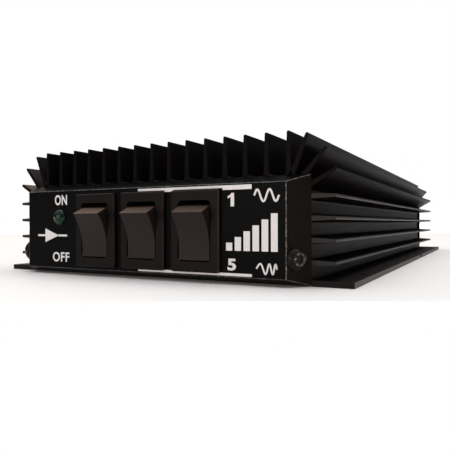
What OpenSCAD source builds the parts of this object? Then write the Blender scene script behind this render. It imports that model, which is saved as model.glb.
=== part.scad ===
// Mobile radio-frequency linear amplifier in a finned housing.
// Millimetres, +Z up, +X to the right, +Y to the rear.
// The origin is the centre of the base plate's underside.

/* [Housing] */
// Length of the finned housing, front to rear
body_len = 200; // [185:1:230]
// Width across the housing's side walls
body_w = 94; // [92:1:106]
// Height of the housing above the base plate
body_h = 26; // [25.5:0.5:32]
// Thickness of the deck that carries the upright fins
deck_t = 3.5; // [3.2:0.1:4]
// Thickness of the side walls
wall_t = 4; // [3.6:0.1:4.6]
// Radius of the housing's two upper shoulders
corner_r = 5; // [4:0.5:6]
// How far each side wall's foot spreads outwards
foot_flare = 1; // [0.5:0.1:1.6]
// Height of that spreading foot
foot_h = 8; // [5:0.5:10]

/* [Fins] */
// Height of the upright fins above the deck
fin_h = 11.1; // [8:0.1:16]
// Spacing of the upright fins
fin_pitch = 6; // [5:0.1:8]
// Thickness of every fin at its root
fin_root_t = 1.5; // [1.2:0.1:2]
// Thickness of every fin at its tip
fin_tip_t = 0.8; // [0.6:0.1:1.2]
// Reach of the level side fins beyond the wall
side_fin_reach = 7.1; // [5:0.1:9]
// Height of the lowest side fin above the base plate
side_fin_first = 4.3; // [3.5:0.1:6]
// Spacing of the level side fins
side_fin_pitch = 5.45; // [4.5:0.05:7]
// Place of the first splayed fin on the shoulder, in degrees from upright
splay_root_first = 9; // [5:1:14]
// Step to the next splayed fin along the shoulder, in degrees
splay_root_step = 29.5; // [26:0.5:32]
// Lean of the first splayed fin, in degrees from upright
splay_lean_first = 22; // [18:1:26]
// Added lean of each next splayed fin, in degrees
splay_lean_step = 19.5; // [16:0.5:21]
// Length of the top splayed fin
splay_len_top = 11.1; // [8:0.1:13]
// Length of the middle splayed fin
splay_len_mid = 10.1; // [8:0.1:12]
// Length of the lowest splayed fin
splay_len_low = 8.5; // [6:0.1:10]

/* [Base plate] */
// Thickness of the base plate
base_t = 1.5; // [1.2:0.1:2]
// Reach of each mounting flange beyond the side wall
flange_reach = 11.5; // [10:0.5:16]
// Radius of the mounting holes in the flanges
mount_hole_r = 1.75; // [1.2:0.05:2]
// Distance from a mounting hole's centre to the flange's edge
mount_hole_edge = 3.2; // [3:0.1:4]
// Distance from a mounting hole's centre to the plate's front or rear edge
mount_hole_inset = 20; // [12:1:30]
// Place of the small edge notch behind the middle
notch_y = 21; // [0:1:40]
// Width of the edge notch
notch_w = 3; // [2:0.5:5]
// Depth of the edge notch
notch_depth = 1.2; // [0.6:0.1:1.6]

/* [Panels] */
// Thickness of the panels' sheet
sheet_t = 1; // [0.8:0.1:1.2]
// How far each panel stands out from the housing's end
panel_depth = 6; // [5.5:0.1:7]
// How far each slanted wing runs inwards
wing_run = 4.25; // [3.8:0.05:4.8]
// Drop of the panel's sloping top edge
bevel_drop = 2; // [1.5:0.1:2.6]
// Rise of the panel's sloping bottom edge
bottom_rise = 1.7; // [1.2:0.1:2]
// Height of the panels' lowest edge
panel_lift = 0.2; // [0.1:0.1:0.4]
// Height of the wing screws above the base plate
wing_screw_h = 5.3; // [5:0.1:7]
// Place of the wing screws in front of the wing's middle
wing_screw_fore = 0.8; // [0.6:0.1:0.9]
// Radius of the wing screws' heads
wing_head_r = 2.85; // [2.5:0.05:3]
// Height of the wing screws' heads
wing_head_h = 2; // [1.6:0.1:2.4]

/* [Switches] */
// Spacing of the rocker switches
switch_pitch = 17; // [16:0.1:18.5]
// Place of the middle switch to the right of the panel's middle
switch_row_x = 1.7; // [0:0.1:4]
// Height of the switch row above the middle of the inside space
switch_lift = 0.75; // [0.2:0.05:0.9]
// Width of a rocker
rocker_w = 9.3; // [8.8:0.1:9.8]
// Half height of a rocker at its front tips
rocker_tip_half = 6.5; // [6.2:0.1:6.6]
// Reach of a rocker's tips in front of its pivot
rocker_reach = 5.1; // [4.6:0.1:5.4]
// Reach of a rocker's hollow face in front of its pivot, at the middle
rocker_waist = 3.6; // [3.2:0.1:4]
// Tilt of a rocker to each side
rocker_tilt = 16; // [12:0.5:17]
// Depth of a rocker's pivot behind the bezel's face
pivot_depth = 3; // [2.8:0.1:3.4]
// Radius of a rocker's pivot pins
pivot_r = 1.2; // [0.9:0.05:1.4]
// Thickness of a bezel
bezel_t = 1.2; // [0.9:0.1:1.6]
// Overlap of a bezel beyond each side of the switch's body
bezel_lip = 0.95; // [0.7:0.05:1.1]
// Overlap of a bezel beyond the switch's body at the top and bottom
bezel_end = 1.3; // [0.9:0.05:1.5]
// Wall of a switch's body
switch_wall = 1.45; // [1.2:0.05:1.5]
// Tilt of a contact lever to each side
lever_tilt = 8; // [5:0.5:10]
// Spacing of a switch's terminals
terminal_pitch = 6.2; // [5.4:0.1:6.6]
// Width of a terminal
terminal_w = 4.8; // [3.6:0.1:5.4]
// Length of a terminal behind the switch
terminal_len = 7.5; // [5:0.5:8]

/* [Status light] */
// Place of the light to the left of the panel's middle
light_x = 30.4; // [29:0.1:31.5]
// Height of the light above the middle of the inside space
light_lift = 4.75; // [4:0.05:5]
// Radius of the light's lens
light_r = 2.4; // [2:0.1:2.5]

/* [Rear sockets] */
// Distance of each coaxial socket from the middle
socket_x = 26; // [24:0.5:28]
// Height of the sockets above the middle of the inside space
socket_lift = 0.75; // [0:0.05:0.8]
// Outer radius of the sockets' thread
thread_r = 7.94; // [7.5:0.02:8]
// Length of free thread behind the nut
thread_len = 12.5; // [10:0.5:14]
// Radius of the centre contact's bore
contact_bore_r = 2; // [1.6:0.05:2.2]
// Depth of the centre contact's bore
contact_bore_len = 12; // [8:0.5:13]
// Width across the nut's flats
nut_af = 19; // [18:0.1:19.4]
// Radius of the power lead's bore in the grommet
lead_bore_r = 3.2; // [2.5:0.1:3.6]

/* [Circuit] */
// Thickness of the circuit board
board_t = 1.6; // [1.2:0.1:1.8]
// Gap from the board to each side wall
board_gap = 3; // [2.5:0.1:4]
// Distance from the housing's front end to the board
board_front = 24; // [23.5:0.5:26]
// Distance from the board to the housing's rear end
board_rear = 20; // [16:0.5:22]
// Height of the spacers between board and deck
spacer_h = 2.6; // [2.5:0.1:3]
// Height of the relays
relay_h = 15; // [12:0.5:16]
// Radius of the smoothing capacitors
can_r = 4; // [3:0.1:4.4]
// Length of the smoothing capacitors
can_len = 11.5; // [8:0.5:14]
// Radius of the output transformer's cores
core_r = 6.2; // [5.2:0.1:6.6]
// Length of the output transformer's cores
core_len = 27; // [22:0.5:28]
// Radius of the trimmer's rotor
trimmer_r = 2.8; // [2.2:0.1:3.2]

/* [Hidden] */
$fn = 64;

// Shared fits
seat_gap = 0.3;      // between surfaces that move past each other
pin_fit = 0.05;      // a pin or thread in its hole
slip_fit = 0.1;      // a piece pushed into a cut-out
cut = 1;             // how far a cutter runs past the face that it opens

// Housing
front_y = -body_len / 2;
rear_y = body_len / 2;
half_w = body_w / 2;
inner_half = half_w - wall_t;
deck_top = base_t + body_h;
deck_under = deck_top - deck_t;
space_mid_z = (base_t + deck_under) / 2;
fin_sink = 0.6;
fins_each_side = floor((half_w - corner_r) / fin_pitch);
side_fin_count = floor((body_h - corner_r - side_fin_first) / side_fin_pitch) + 1;
splay_lengths = [splay_len_top, splay_len_mid, splay_len_low];

// M3 fasteners
screw_r = 1.45;
screw_hole_r = screw_r + pin_fit;
screw_pass_r = 1.7;
head_r = 2.75;
head_h = 2;
deck_thread = 2.6;

// Base plate
base_half_w = half_w + flange_reach;
mount_x = base_half_w - mount_hole_edge;
mount_y = rear_y - mount_hole_inset;
base_screw_x = half_w - wall_t / 2;
base_screw_inset = 15;
base_screw_ys = [front_y + base_screw_inset, 0, rear_y - base_screw_inset];
base_head_r = 2.5;
base_head_h = 1.05;
base_thread = 6.5;

// Panels, measured on the front one
pan_half = half_w + foot_flare;
wing_slope = wing_run / panel_depth;
bevel_slope = bevel_drop / panel_depth;
bottom_slope = bottom_rise / panel_depth;
wing_angle = atan(wing_slope);
face_y = front_y - panel_depth;
wing_mid_x = pan_half - wing_run / 2;
wing_mid_y = front_y - panel_depth / 2;
wing_screw_z = base_t + wing_screw_h;
wing_screw_len = 4.2;
bracket_t = 1.5;
bracket_inset = 6.4;
bridge_t = 1.2;
bridge_inset = 2.7;
bracket_top = wing_screw_z + 3.5;
bracket_foot_w = 7;
bracket_foot_len = 12;
leaf_fore = 3;
leaf_aft = 1.5;

// Switches: places are measured from the panel's face, and heights from the row
switch_z = space_mid_z + switch_lift;
switch_xs = [switch_row_x - switch_pitch, switch_row_x, switch_row_x + switch_pitch];
pivot_y = pivot_depth - bezel_t;
tip_angle = atan2(rocker_tip_half, rocker_reach);
tip_radius = norm([rocker_tip_half, rocker_reach]);
open_half = tip_radius * sin(tip_angle + rocker_tilt) + seat_gap;
open_w = rocker_w + 2 * seat_gap;
switch_body_w = open_w + 2 * switch_wall;
switch_body_h = 2 * (open_half + switch_wall);
bezel_w = switch_body_w + 2 * bezel_lip;
bezel_h = switch_body_h + 2 * bezel_end;
bezel_chamfer = 0.35;
bezel_corner_r = 0.8;
face_dip = rocker_reach - rocker_waist;
face_radius = (pow(rocker_tip_half, 2) + pow(face_dip, 2)) / (2 * face_dip);
shoulder_reach = 1.2;
shoulder_half = rocker_tip_half + 0.6;
rocker_back = 1.8;
post_r = 2;
post_len = 6;
plunger_r = 0.95;
plunger_reach = 6.7;
plunger_tail = 4.3;
plunger_bore_from = 1;
lever_t = 0.6;
lever_w = 4.4;
fulcrum_r = 0.4;
fulcrum_len = lever_w + 1.6;
lever_axis = plunger_reach + plunger_r + seat_gap + fulcrum_r;
lever_half = terminal_pitch - 0.4;
lever_seat = lever_axis + fulcrum_r + seat_gap;
pad_t = 0.5;
pad_len = 2;
pad_reach = lever_half - 0.6;
pad_at = lever_axis + lever_t / 2 / cos(lever_tilt) + pad_reach * tan(lever_tilt) + seat_gap;
terminal_t = 0.8;
switch_back_t = 1.2;
switch_floor = pivot_y + pad_at + pad_t + 0.9;
switch_depth = switch_floor + switch_back_t;
latch_h = 0.7;
latch_len = 5;
latch_w = 6;
terminal_end_y = face_y + switch_depth + terminal_len;
wire_r = 0.6;

// Status light
light_z = space_mid_z + light_lift;
light_flange_r = light_r + 0.5;
light_flange_t = 1;
light_proud = 1.5;
clip_r = light_flange_r + 1;
clip_lip = 0.8;
light_back = sheet_t + clip_lip + light_flange_t;
clip_len = 4;
lead_pitch = 2.54;
lead_r = 0.35;

// Rear sockets and grommet: places are measured outwards from the rear panel's face
socket_z = space_mid_z + socket_lift;
rear_face_y = rear_y + panel_depth;
shell_flange_r = 9.3;
shell_flange_t = 2;
shell_bore_r = thread_r - 1.74;
washer_r = 10;
washer_t = 0.8;
nut_t = 3;
thread_root_r = thread_r - 0.4;
thread_from = washer_t + nut_t + 0.1;
shell_end = thread_from + thread_len;
insulator_out = 7;
insulator_back = -sheet_t - shell_flange_t - 1;
contact_r = contact_bore_r + 1.2;
contact_end = shell_end - 1;
contact_tail = 4;
contact_tail_r = 1.6;
grommet_flange_r = lead_bore_r + 3.4;
grommet_flange_t = 1.6;
grommet_waist_r = lead_bore_r + 1.75;

// Circuit board: places are measured from the housing's middle
board_half = inner_half - board_gap;
board_front_y = front_y + board_front;
board_rear_y = rear_y - board_rear;
board_top = deck_under - spacer_h;
board_under = board_top - board_t;
board_screw_x = board_half - 5;
board_screw_ys = [board_front_y + 6, 2, board_rear_y - 6];
spacer_r = 3;
transistor_xs = [-14, 14];
transistor_y = 12;
transistor_screw_dx = 9.2;
transistor_flange = [24.8, 9.7, 2.5];
transistor_cap_r = 4.6;
transistor_cap_drop = 2.2;
transistor_lead = [5.6, 22, 0.2];
relay_w = 15.5;
relay_len = 19.2;
input_relay_at = [18 - board_half, -28];
output_relay_at = [24, 56];
input_core_r = 3.2;
input_core_len = 14;
input_core_at = [12, -30];
output_core_at = [0, 38];
tube_r = 3;
coil_ring_r = 6.2;
coil_wire_r = 2.4;
tube_wall = 0.5;
tube_stub = 0.5;
end_plate_t = 1;
end_plate_half = [core_r + tube_r + 2, tube_r + 1.5];
coil_spots = [[-24, 34], [-24, 53], [24, 36]];
can_spots = [[board_half - 12, -48], [board_half - 12, -60], [board_half - 5.5, 22]];
can_seal_h = 2.2;
can_seal_inset = 0.4;
disc_r = 2.6;
disc_t = 1.6;
disc_spots = [
    [-14, -2], [-22, -2], [14, -2], [22, -2],
    [-28, 22], [-16, 25], [16, 25],
    [output_relay_at[0], output_relay_at[1] + relay_len / 2 + disc_r + 1.4]
];
resistor_ys = [-16, -10, -4];
resistor_r = 2.2;
resistor_len = 13;
choke_at = [10.2, -56];
choke_r = 4;
choke_len = 18;
regulator_at = [board_half - 7, -28];
regulator_w = 10;
regulator_body_len = 8;
regulator_body_h = 4.4;
regulator_tab_len = 8;
regulator_tab_t = 1.3;
regulator_hole_y = regulator_at[1] + 4.5;
regulator_pin = [0.8, 5, 0.5];
trimmer_at = [10 - board_half, -50];
trimmer_w = 9.5;
trimmer_h = 4.8;
trimmer_recess = 1.2;
trimmer_proud = 0.5;
supply_tab_dx = 6;
supply_tab_h = 8;

// ---------- helpers ----------

// Outline in the X-Y plane, extruded upwards
module prism_z(outline, low, high) {
    translate([0, 0, low])
        linear_extrude(height = high - low)
            polygon(outline);
}

// Outline in the Y-Z plane, extruded along X around the middle
module prism_x(outline, width) {
    rotate([90, 0, 90])
        linear_extrude(height = width, center = true)
            polygon(outline);
}

// Box given by its low and high corner
module block(low, high) {
    translate(low)
        cube(high - low);
}

// Rod along Y
module rod_y(r, from, to) {
    translate([0, from, 0])
        rotate([-90, 0, 0])
            cylinder(r = r, h = to - from);
}

// Rod along Y with a shallow dome that ends at its far end
module domed_rod(r, from, to) {
    dome_r = 1.2 * r;
    rod_y(r, from, to - r);
    intersection() {
        rod_y(r, to - r, to);
        translate([0, to - dome_r, 0])
            sphere(r = dome_r);
    }
}

// Plain wire through a few points, with a slightly fuller elbow at each
module wire(points, r) {
    for (i = [0 : len(points) - 2]) {
        span = points[i + 1] - points[i];
        reach = norm(span);
        translate(points[i])
            rotate([0, acos(span[2] / reach), atan2(span[1], span[0])])
                cylinder(r = r, h = reach, $fn = 24);
    }
    for (i = [1 : 1 : len(points) - 2])
        translate(points[i])
            sphere(r = 1.12 * r, $fn = 24);
}

// Pan-head screw, head upwards from z = 0, with a six-lobe recess
module pan_screw(r_head, h_head, length) {
    dome_r = 1.25 * r_head;
    lobe_at = r_head * 0.34;
    difference() {
        union() {
            intersection() {
                cylinder(r = r_head, h = h_head);
                translate([0, 0, h_head - dome_r])
                    sphere(r = dome_r);
            }
            translate([0, 0, -length])
                cylinder(r = screw_r, h = length);
        }
        translate([0, 0, h_head * 0.4])
            cylinder(r = lobe_at, h = h_head);
        for (turn = [0 : 60 : 300])
            rotate([0, 0, turn])
                translate([lobe_at, 0, h_head * 0.4])
                    cylinder(r = r_head * 0.12, h = h_head, $fn = 24);
    }
}

// Puts a front-panel piece at each wing, x outwards from the wing and y along it
module at_wings(sides = [1, -1]) {
    for (side = sides)
        mirror([side < 0 ? 1 : 0, 0, 0])
            translate([wing_mid_x, wing_mid_y, 0])
                rotate([0, 0, -wing_angle])
                    children();
}

// Turns a front piece to the rear
module at_rear() {
    mirror([0, 1, 0])
        children();
}

// ---------- housing ----------

module fin_blade(length) {
    polygon([
        [-fin_root_t / 2, -fin_sink],
        [-fin_tip_t / 2, length],
        [fin_tip_t / 2, length],
        [fin_root_t / 2, -fin_sink]
    ]);
}

module side_fins() {
    for (i = [0 : side_fin_count - 1])
        along_housing()
            translate([half_w, base_t + side_fin_first + i * side_fin_pitch])
                rotate(-90)
                    fin_blade(side_fin_reach);
}

module splayed_fins() {
    for (i = [0 : len(splay_lengths) - 1]) {
        root = splay_root_first + i * splay_root_step;
        lean = splay_lean_first + i * splay_lean_step;
        root_x = half_w - corner_r + corner_r * sin(root);
        root_z = deck_top - corner_r + corner_r * cos(root);
        along_housing()
            translate([root_x, root_z])
                rotate(-lean)
                    fin_blade(splay_lengths[i]);
    }
}

// Extrudes a section over the whole length of the housing
module along_housing() {
    rotate([90, 0, 0])
        linear_extrude(height = body_len, center = true)
            children();
}

// Deck, shoulders and walls around the inside space
module housing_shell() {
    difference() {
        union() {
            along_housing()
                translate([-half_w, base_t])
                    square([body_w, body_h - corner_r]);
            along_housing()
                translate([corner_r - half_w, base_t])
                    square([body_w - 2 * corner_r, body_h]);
            for (side = [-1, 1]) {
                along_housing()
                    translate([side * (half_w - corner_r), deck_top - corner_r])
                        circle(r = corner_r);
                along_housing()
                    polygon([
                        [side * (half_w - fin_sink), base_t],
                        [side * pan_half, base_t],
                        [side * half_w, base_t + foot_h],
                        [side * (half_w - fin_sink), base_t + foot_h]
                    ]);
            }
        }
        block([-inner_half, front_y - cut, base_t - cut], [inner_half, rear_y + cut, deck_under]);
    }
}

module all_fins() {
    for (i = [-fins_each_side : fins_each_side])
        along_housing()
            translate([i * fin_pitch, deck_top])
                fin_blade(fin_h);
    for (side = [0, 1])
        mirror([side, 0, 0]) {
            side_fins();
            splayed_fins();
        }
}

// Threaded hole in the deck, open downwards
module deck_hole(x, y) {
    translate([x, y, deck_under - cut])
        cylinder(r = screw_hole_r, h = deck_thread + cut);
}

module heatsink() {
    color([0.10, 0.095, 0.09])
        difference() {
            union() {
                housing_shell();
                all_fins();
            }
            for (side = [-1, 1], y = base_screw_ys)
                translate([side * base_screw_x, y, base_t - cut])
                    cylinder(r = screw_hole_r, h = base_thread + cut);
            for (side = [-1, 1], y = board_screw_ys)
                deck_hole(side * board_screw_x, y);
            for (x = transistor_xs, side = [-1, 1])
                deck_hole(x + side * transistor_screw_dx, transistor_y);
            deck_hole(regulator_at[0], regulator_hole_y);
        }
}

module base_plate() {
    color([0.12, 0.11, 0.11])
        difference() {
            block([-base_half_w, front_y, 0], [base_half_w, rear_y, base_t]);
            for (side = [-1, 1]) {
                for (end = [-1, 1])
                    translate([side * mount_x, end * mount_y, -cut])
                        cylinder(r = mount_hole_r, h = base_t + 2 * cut);
                for (y = base_screw_ys)
                    translate([side * base_screw_x, y, 0]) {
                        translate([0, 0, -cut])
                            cylinder(r = screw_pass_r, h = base_t + 2 * cut);
                        cylinder(r1 = base_head_r + slip_fit, r2 = screw_pass_r, h = base_head_h);
                    }
                translate([side * base_half_w, notch_y, 0])
                    cube([2 * notch_depth, notch_w, 3 * base_t], center = true);
            }
        }
}

module base_screws() {
    color([0.25, 0.25, 0.26])
        for (side = [-1, 1], y = base_screw_ys)
            translate([side * base_screw_x, y, 0])
                difference() {
                    union() {
                        cylinder(r1 = base_head_r, r2 = screw_r, h = base_head_h);
                        cylinder(r = screw_r, h = base_t + base_thread - 0.5);
                    }
                    for (turn = [0, 90])
                        rotate([0, 0, turn])
                            cube([2.6, 0.6, 1.4], center = true);
                }
}

// ---------- panels ----------

// Solid with the panel's slopes, drawn in by a sheet's thickness for the inside
module panel_blank(inset) {
    open_end = inset > 0 ? cut : 0;
    y_face = face_y + inset;
    y_back = front_y + open_end;
    function half_at(y) = pan_half + wing_slope * (y - front_y) - inset / cos(wing_angle);
    function top_at(y) = deck_top + bevel_slope * (y - front_y) - inset / cos(atan(bevel_slope));
    function low_at(y) = panel_lift - bottom_slope * (y - front_y) + inset / cos(atan(bottom_slope));
    intersection() {
        prism_z([
            [-half_at(y_back), y_back],
            [-half_at(y_face), y_face],
            [half_at(y_face), y_face],
            [half_at(y_back), y_back]
        ], -cut, deck_top + cut);
        prism_x([
            [y_back, low_at(y_back)],
            [y_face, low_at(y_face)],
            [y_face, top_at(y_face)],
            [y_back, top_at(y_back)]
        ], 3 * body_w);
    }
}

module panel_shell() {
    difference() {
        panel_blank(0);
        panel_blank(sheet_t);
        at_wings()
            translate([0, -wing_screw_fore, wing_screw_z])
                rotate([0, 90, 0])
                    cylinder(r = screw_pass_r, h = 6 * sheet_t, center = true);
    }
}

module front_panel() {
    cutout_w = switch_body_w + 2 * slip_fit;
    cutout_h = switch_body_h + 2 * slip_fit;
    color([0.15, 0.14, 0.135])
        difference() {
            panel_shell();
            for (x = switch_xs)
                translate([x, face_y, switch_z])
                    cube([cutout_w, 4 * sheet_t, cutout_h], center = true);
            translate([-light_x, face_y, light_z])
                rod_y(light_r + slip_fit, -cut, sheet_t + cut);
        }
}

module rear_panel() {
    color([0.15, 0.14, 0.135])
        difference() {
            at_rear()
                panel_shell();
            for (side = [-1, 1])
                translate([side * socket_x, rear_face_y, socket_z])
                    rod_y(thread_r + slip_fit, -2 * sheet_t, cut);
            translate([0, rear_face_y, socket_z])
                rod_y(grommet_waist_r + pin_fit, -2 * sheet_t, cut);
        }
}

// Folded corner bracket of the front right corner
module bracket() {
    leaf_x = -sheet_t - slip_fit;
    web_x = wing_mid_x - bracket_inset;
    bridge_y = face_y + sheet_t + slip_fit;
    strip_low = panel_lift + bottom_rise + sheet_t + slip_fit;
    difference() {
        union() {
            translate([wing_mid_x, wing_mid_y, 0])
                rotate([0, 0, -wing_angle])
                    block([leaf_x - bracket_t, -leaf_fore, strip_low], [leaf_x, leaf_aft, bracket_top]);
            block([web_x, bridge_y, strip_low],
                  [wing_mid_x - bridge_inset, bridge_y + bridge_t, bracket_top]);
            block([web_x, bridge_y, strip_low],
                  [web_x + bracket_t, front_y + bracket_foot_len, bracket_top]);
            block([web_x, front_y + seat_gap, base_t],
                  [web_x + bracket_t, front_y + bracket_foot_len, bracket_top]);
            block([web_x - bracket_foot_w, front_y + seat_gap, base_t],
                  [web_x + bracket_t, front_y + bracket_foot_len, base_t + bracket_t]);
        }
        translate([wing_mid_x, wing_mid_y, wing_screw_z])
            rotate([0, 0, -wing_angle])
                translate([leaf_x, -wing_screw_fore, 0])
                    rotate([0, 90, 0])
                        cylinder(r = screw_hole_r, h = 3 * bracket_t, center = true);
    }
}

module panel_brackets() {
    color([0.55, 0.55, 0.56])
        for (side = [0, 1], end = [0, 1])
            mirror([side, 0, 0])
                mirror([0, end, 0])
                    bracket();
}

module wing_screws() {
    at_wings()
        translate([0, -wing_screw_fore, wing_screw_z])
            rotate([0, 90, 0])
                pan_screw(wing_head_r, wing_head_h, wing_screw_len);
}

module front_panel_screws() {
    color([0.18, 0.17, 0.16])
        wing_screws();
}

module rear_panel_screws() {
    color([0.18, 0.17, 0.16])
        at_rear()
            wing_screws();
}

// ---------- rocker switches ----------

// Puts a switch's piece in place: y from the panel's face, z from the row
module at_switch(i) {
    translate([switch_xs[i - 1], face_y, switch_z])
        children();
}

// Puts a rocker's piece in place at rest, measured from the pivot, top forwards
module at_rocker(i) {
    at_switch(i)
        translate([0, pivot_y, 0])
            rotate([rocker_tilt, 0, 0])
                children();
}

// Bezel with a bevelled front edge and round corners
module bezel() {
    w = bezel_w / 2;
    h = bezel_h / 2;
    c = bezel_chamfer;
    r = bezel_corner_r;
    intersection() {
        prism_z([
            [-w, 0], [-w, c - bezel_t], [c - w, -bezel_t],
            [w - c, -bezel_t], [w, c - bezel_t], [w, 0]
        ], -h, h);
        prism_x([
            [0, -h], [c - bezel_t, -h], [-bezel_t, c - h],
            [-bezel_t, h - c], [c - bezel_t, h], [0, h]
        ], bezel_w);
        rotate([90, 0, 0])
            linear_extrude(height = 3 * bezel_t, center = true) {
                square([bezel_w - 2 * r, bezel_h], center = true);
                square([bezel_w, bezel_h - 2 * r], center = true);
                for (sx = [-1, 1], sz = [-1, 1])
                    translate([sx * (w - r), sz * (h - r)])
                        circle(r = r);
            }
    }
}

module switch_body(i) {
    h = switch_body_h / 2;
    latch_from = sheet_t + slip_fit;
    color([0.07, 0.065, 0.065])
        at_switch(i)
            difference() {
                union() {
                    bezel();
                    block([-switch_body_w / 2, -bezel_t / 2, -h], [switch_body_w / 2, switch_depth, h]);
                    for (side = [0, 1])
                        mirror([0, 0, side])
                            prism_x([
                                [latch_from, h - 0.2],
                                [latch_from, h + latch_h],
                                [latch_from + latch_len, h],
                                [latch_from + latch_len, h - 0.2]
                            ], latch_w);
                }
                block([-open_w / 2, -bezel_t - cut, -open_half], [open_w / 2, switch_floor, open_half]);
                translate([0, pivot_y, 0])
                    rotate([0, 90, 0])
                        cylinder(r = pivot_r + pin_fit, h = bezel_w, center = true);
                for (row = [-1 : 1])
                    translate([0, switch_depth, row * terminal_pitch])
                        cube([terminal_w + 2 * pin_fit, 4 * switch_back_t, terminal_t + 2 * pin_fit],
                             center = true);
            }
}

module rocker(i) {
    pin_half = open_w / 2 + switch_wall - 0.15;
    color([0.16, 0.14, 0.14])
        at_rocker(i)
            difference() {
                union() {
                    rotate([90, 0, 90])
                        linear_extrude(height = rocker_w, center = true)
                            difference() {
                                polygon([
                                    [-rocker_reach, -rocker_tip_half],
                                    [-shoulder_reach, -shoulder_half],
                                    [rocker_back, 0.1 - shoulder_half],
                                    [rocker_back, shoulder_half - 0.1],
                                    [-shoulder_reach, shoulder_half],
                                    [-rocker_reach, rocker_tip_half]
                                ]);
                                translate([-rocker_waist - face_radius, 0])
                                    circle(r = face_radius, $fn = 128);
                            }
                    rod_y(post_r, rocker_back / 2, post_len);
                    rotate([0, 90, 0])
                        cylinder(r = pivot_r, h = 2 * pin_half, center = true);
                }
                rod_y(plunger_r + slip_fit, plunger_bore_from, post_len + cut);
            }
}

module rocker_plunger(i) {
    color([0.8, 0.65, 0.3])
        at_rocker(i)
            domed_rod(plunger_r, plunger_tail, plunger_reach + plunger_r);
}

// The closed outline of the small spring, hidden in the rocker's post
module plunger_spring(i) {
    color([0.7, 0.7, 0.72])
        at_rocker(i)
            difference() {
                rod_y(plunger_r - pin_fit, plunger_bore_from + pin_fit, plunger_tail);
                rod_y(plunger_r - 0.4, 0, plunger_tail + cut);
            }
}

module contact_lever(i) {
    color([0.8, 0.55, 0.35])
        at_switch(i)
            translate([0, pivot_y + lever_axis, 0])
                rotate([-lever_tilt, 0, 0]) {
                    cube([lever_w, lever_t, 2 * lever_half], center = true);
                    rotate([0, 90, 0])
                        cylinder(r = fulcrum_r, h = fulcrum_len, center = true);
                }
}

module switch_terminals(i) {
    end_y = switch_depth + terminal_len;
    color([0.75, 0.68, 0.5])
        at_switch(i)
            for (row = [-1 : 1]) {
                mid = row * terminal_pitch;
                from = pivot_y + (row == 0 ? lever_seat : pad_at);
                block([-terminal_w / 2, from, mid - terminal_t / 2], [terminal_w / 2, end_y, mid + terminal_t / 2]);
                if (row != 0)
                    translate([0, from + pad_t / 2, row * (terminal_pitch + terminal_t / 2 - pad_len / 2)])
                        cube([terminal_w, pad_t, pad_len], center = true);
            }
}

module switch_wires() {
    y_top = board_front_y + 3;
    color([0.55, 0.1, 0.08])
        for (x = switch_xs) {
            wire([
                [x, terminal_end_y, switch_z + terminal_pitch],
                [x, board_front_y - 2.5, switch_z + terminal_pitch],
                [x, board_front_y - 2.5, board_under - 3.5],
                [x, y_top, board_under - 3.5],
                [x, y_top, board_under]
            ], wire_r);
            wire([
                [x - 1.7, terminal_end_y, switch_z],
                [x - 1.7, y_top + 1, switch_z],
                [x - 1.7, y_top + 1, board_under]
            ], wire_r);
            wire([
                [x + 1.7, terminal_end_y, switch_z - terminal_pitch],
                [x + 1.7, y_top + 2, switch_z - terminal_pitch],
                [x + 1.7, y_top + 2, board_under]
            ], wire_r);
        }
}

// ---------- status light ----------

module at_light() {
    translate([-light_x, face_y, light_z])
        children();
}

module light_lens() {
    color([0.08, 0.35, 0.2, 0.8])
        at_light() {
            mirror([0, 1, 0])
                domed_rod(light_r, -light_back, light_proud);
            rod_y(light_flange_r, light_back - light_flange_t + pin_fit, light_back);
        }
}

module light_clip() {
    color([0.08, 0.08, 0.08])
        at_light()
            difference() {
                rod_y(clip_r, sheet_t, sheet_t + clip_len);
                rod_y(light_r + slip_fit, 0, sheet_t + clip_len + cut);
                rod_y(light_flange_r + slip_fit, sheet_t + clip_lip, sheet_t + clip_len + cut);
            }
}

module light_leads() {
    lens_back = face_y + light_back;
    turn_y = board_front_y + 1.5;
    color([0.75, 0.75, 0.76])
        for (side = [-1, 1]) {
            x = -light_x + side * lead_pitch / 2;
            wire([[x, lens_back, light_z], [x, turn_y, light_z], [x, turn_y, board_under]], lead_r);
        }
}

// ---------- circuit board and what it carries ----------

module circuit_board() {
    color([0.1, 0.3, 0.16])
        difference() {
            block([-board_half, board_front_y, board_under], [board_half, board_rear_y, board_top]);
            for (side = [-1, 1], y = board_screw_ys)
                translate([side * board_screw_x, y, board_under - cut])
                    cylinder(r = screw_pass_r, h = board_t + 2 * cut);
            for (x = transistor_xs)
                translate([x, transistor_y, board_under - cut]) {
                    cylinder(r = transistor_cap_r + 2 * seat_gap, h = board_t + 2 * cut);
                    for (side = [-1, 1])
                        translate([side * transistor_screw_dx, 0, 0])
                            cylinder(r = head_r + seat_gap, h = board_t + 2 * cut);
                }
            translate([regulator_at[0], regulator_at[1], board_top])
                cube([regulator_w + 2, regulator_body_len + regulator_tab_len + 3, 4 * board_t],
                     center = true);
        }
}

module board_spacers() {
    color([0.8, 0.66, 0.32])
        for (side = [-1, 1], y = board_screw_ys)
            translate([side * board_screw_x, y, board_top])
                difference() {
                    cylinder(r = spacer_r, h = spacer_h);
                    translate([0, 0, -cut])
                        cylinder(r = screw_pass_r, h = spacer_h + 2 * cut);
                }
}

// Screw from below: head under z, thread up into the deck
module rising_screw(x, y, seat_z) {
    translate([x, y, seat_z])
        rotate([180, 0, 0])
            pan_screw(head_r, head_h, deck_under + deck_thread - 0.3 - seat_z);
}

module board_screws() {
    color([0.6, 0.6, 0.62])
        for (side = [-1, 1], y = board_screw_ys)
            rising_screw(side * board_screw_x, y, board_under);
}

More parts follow.
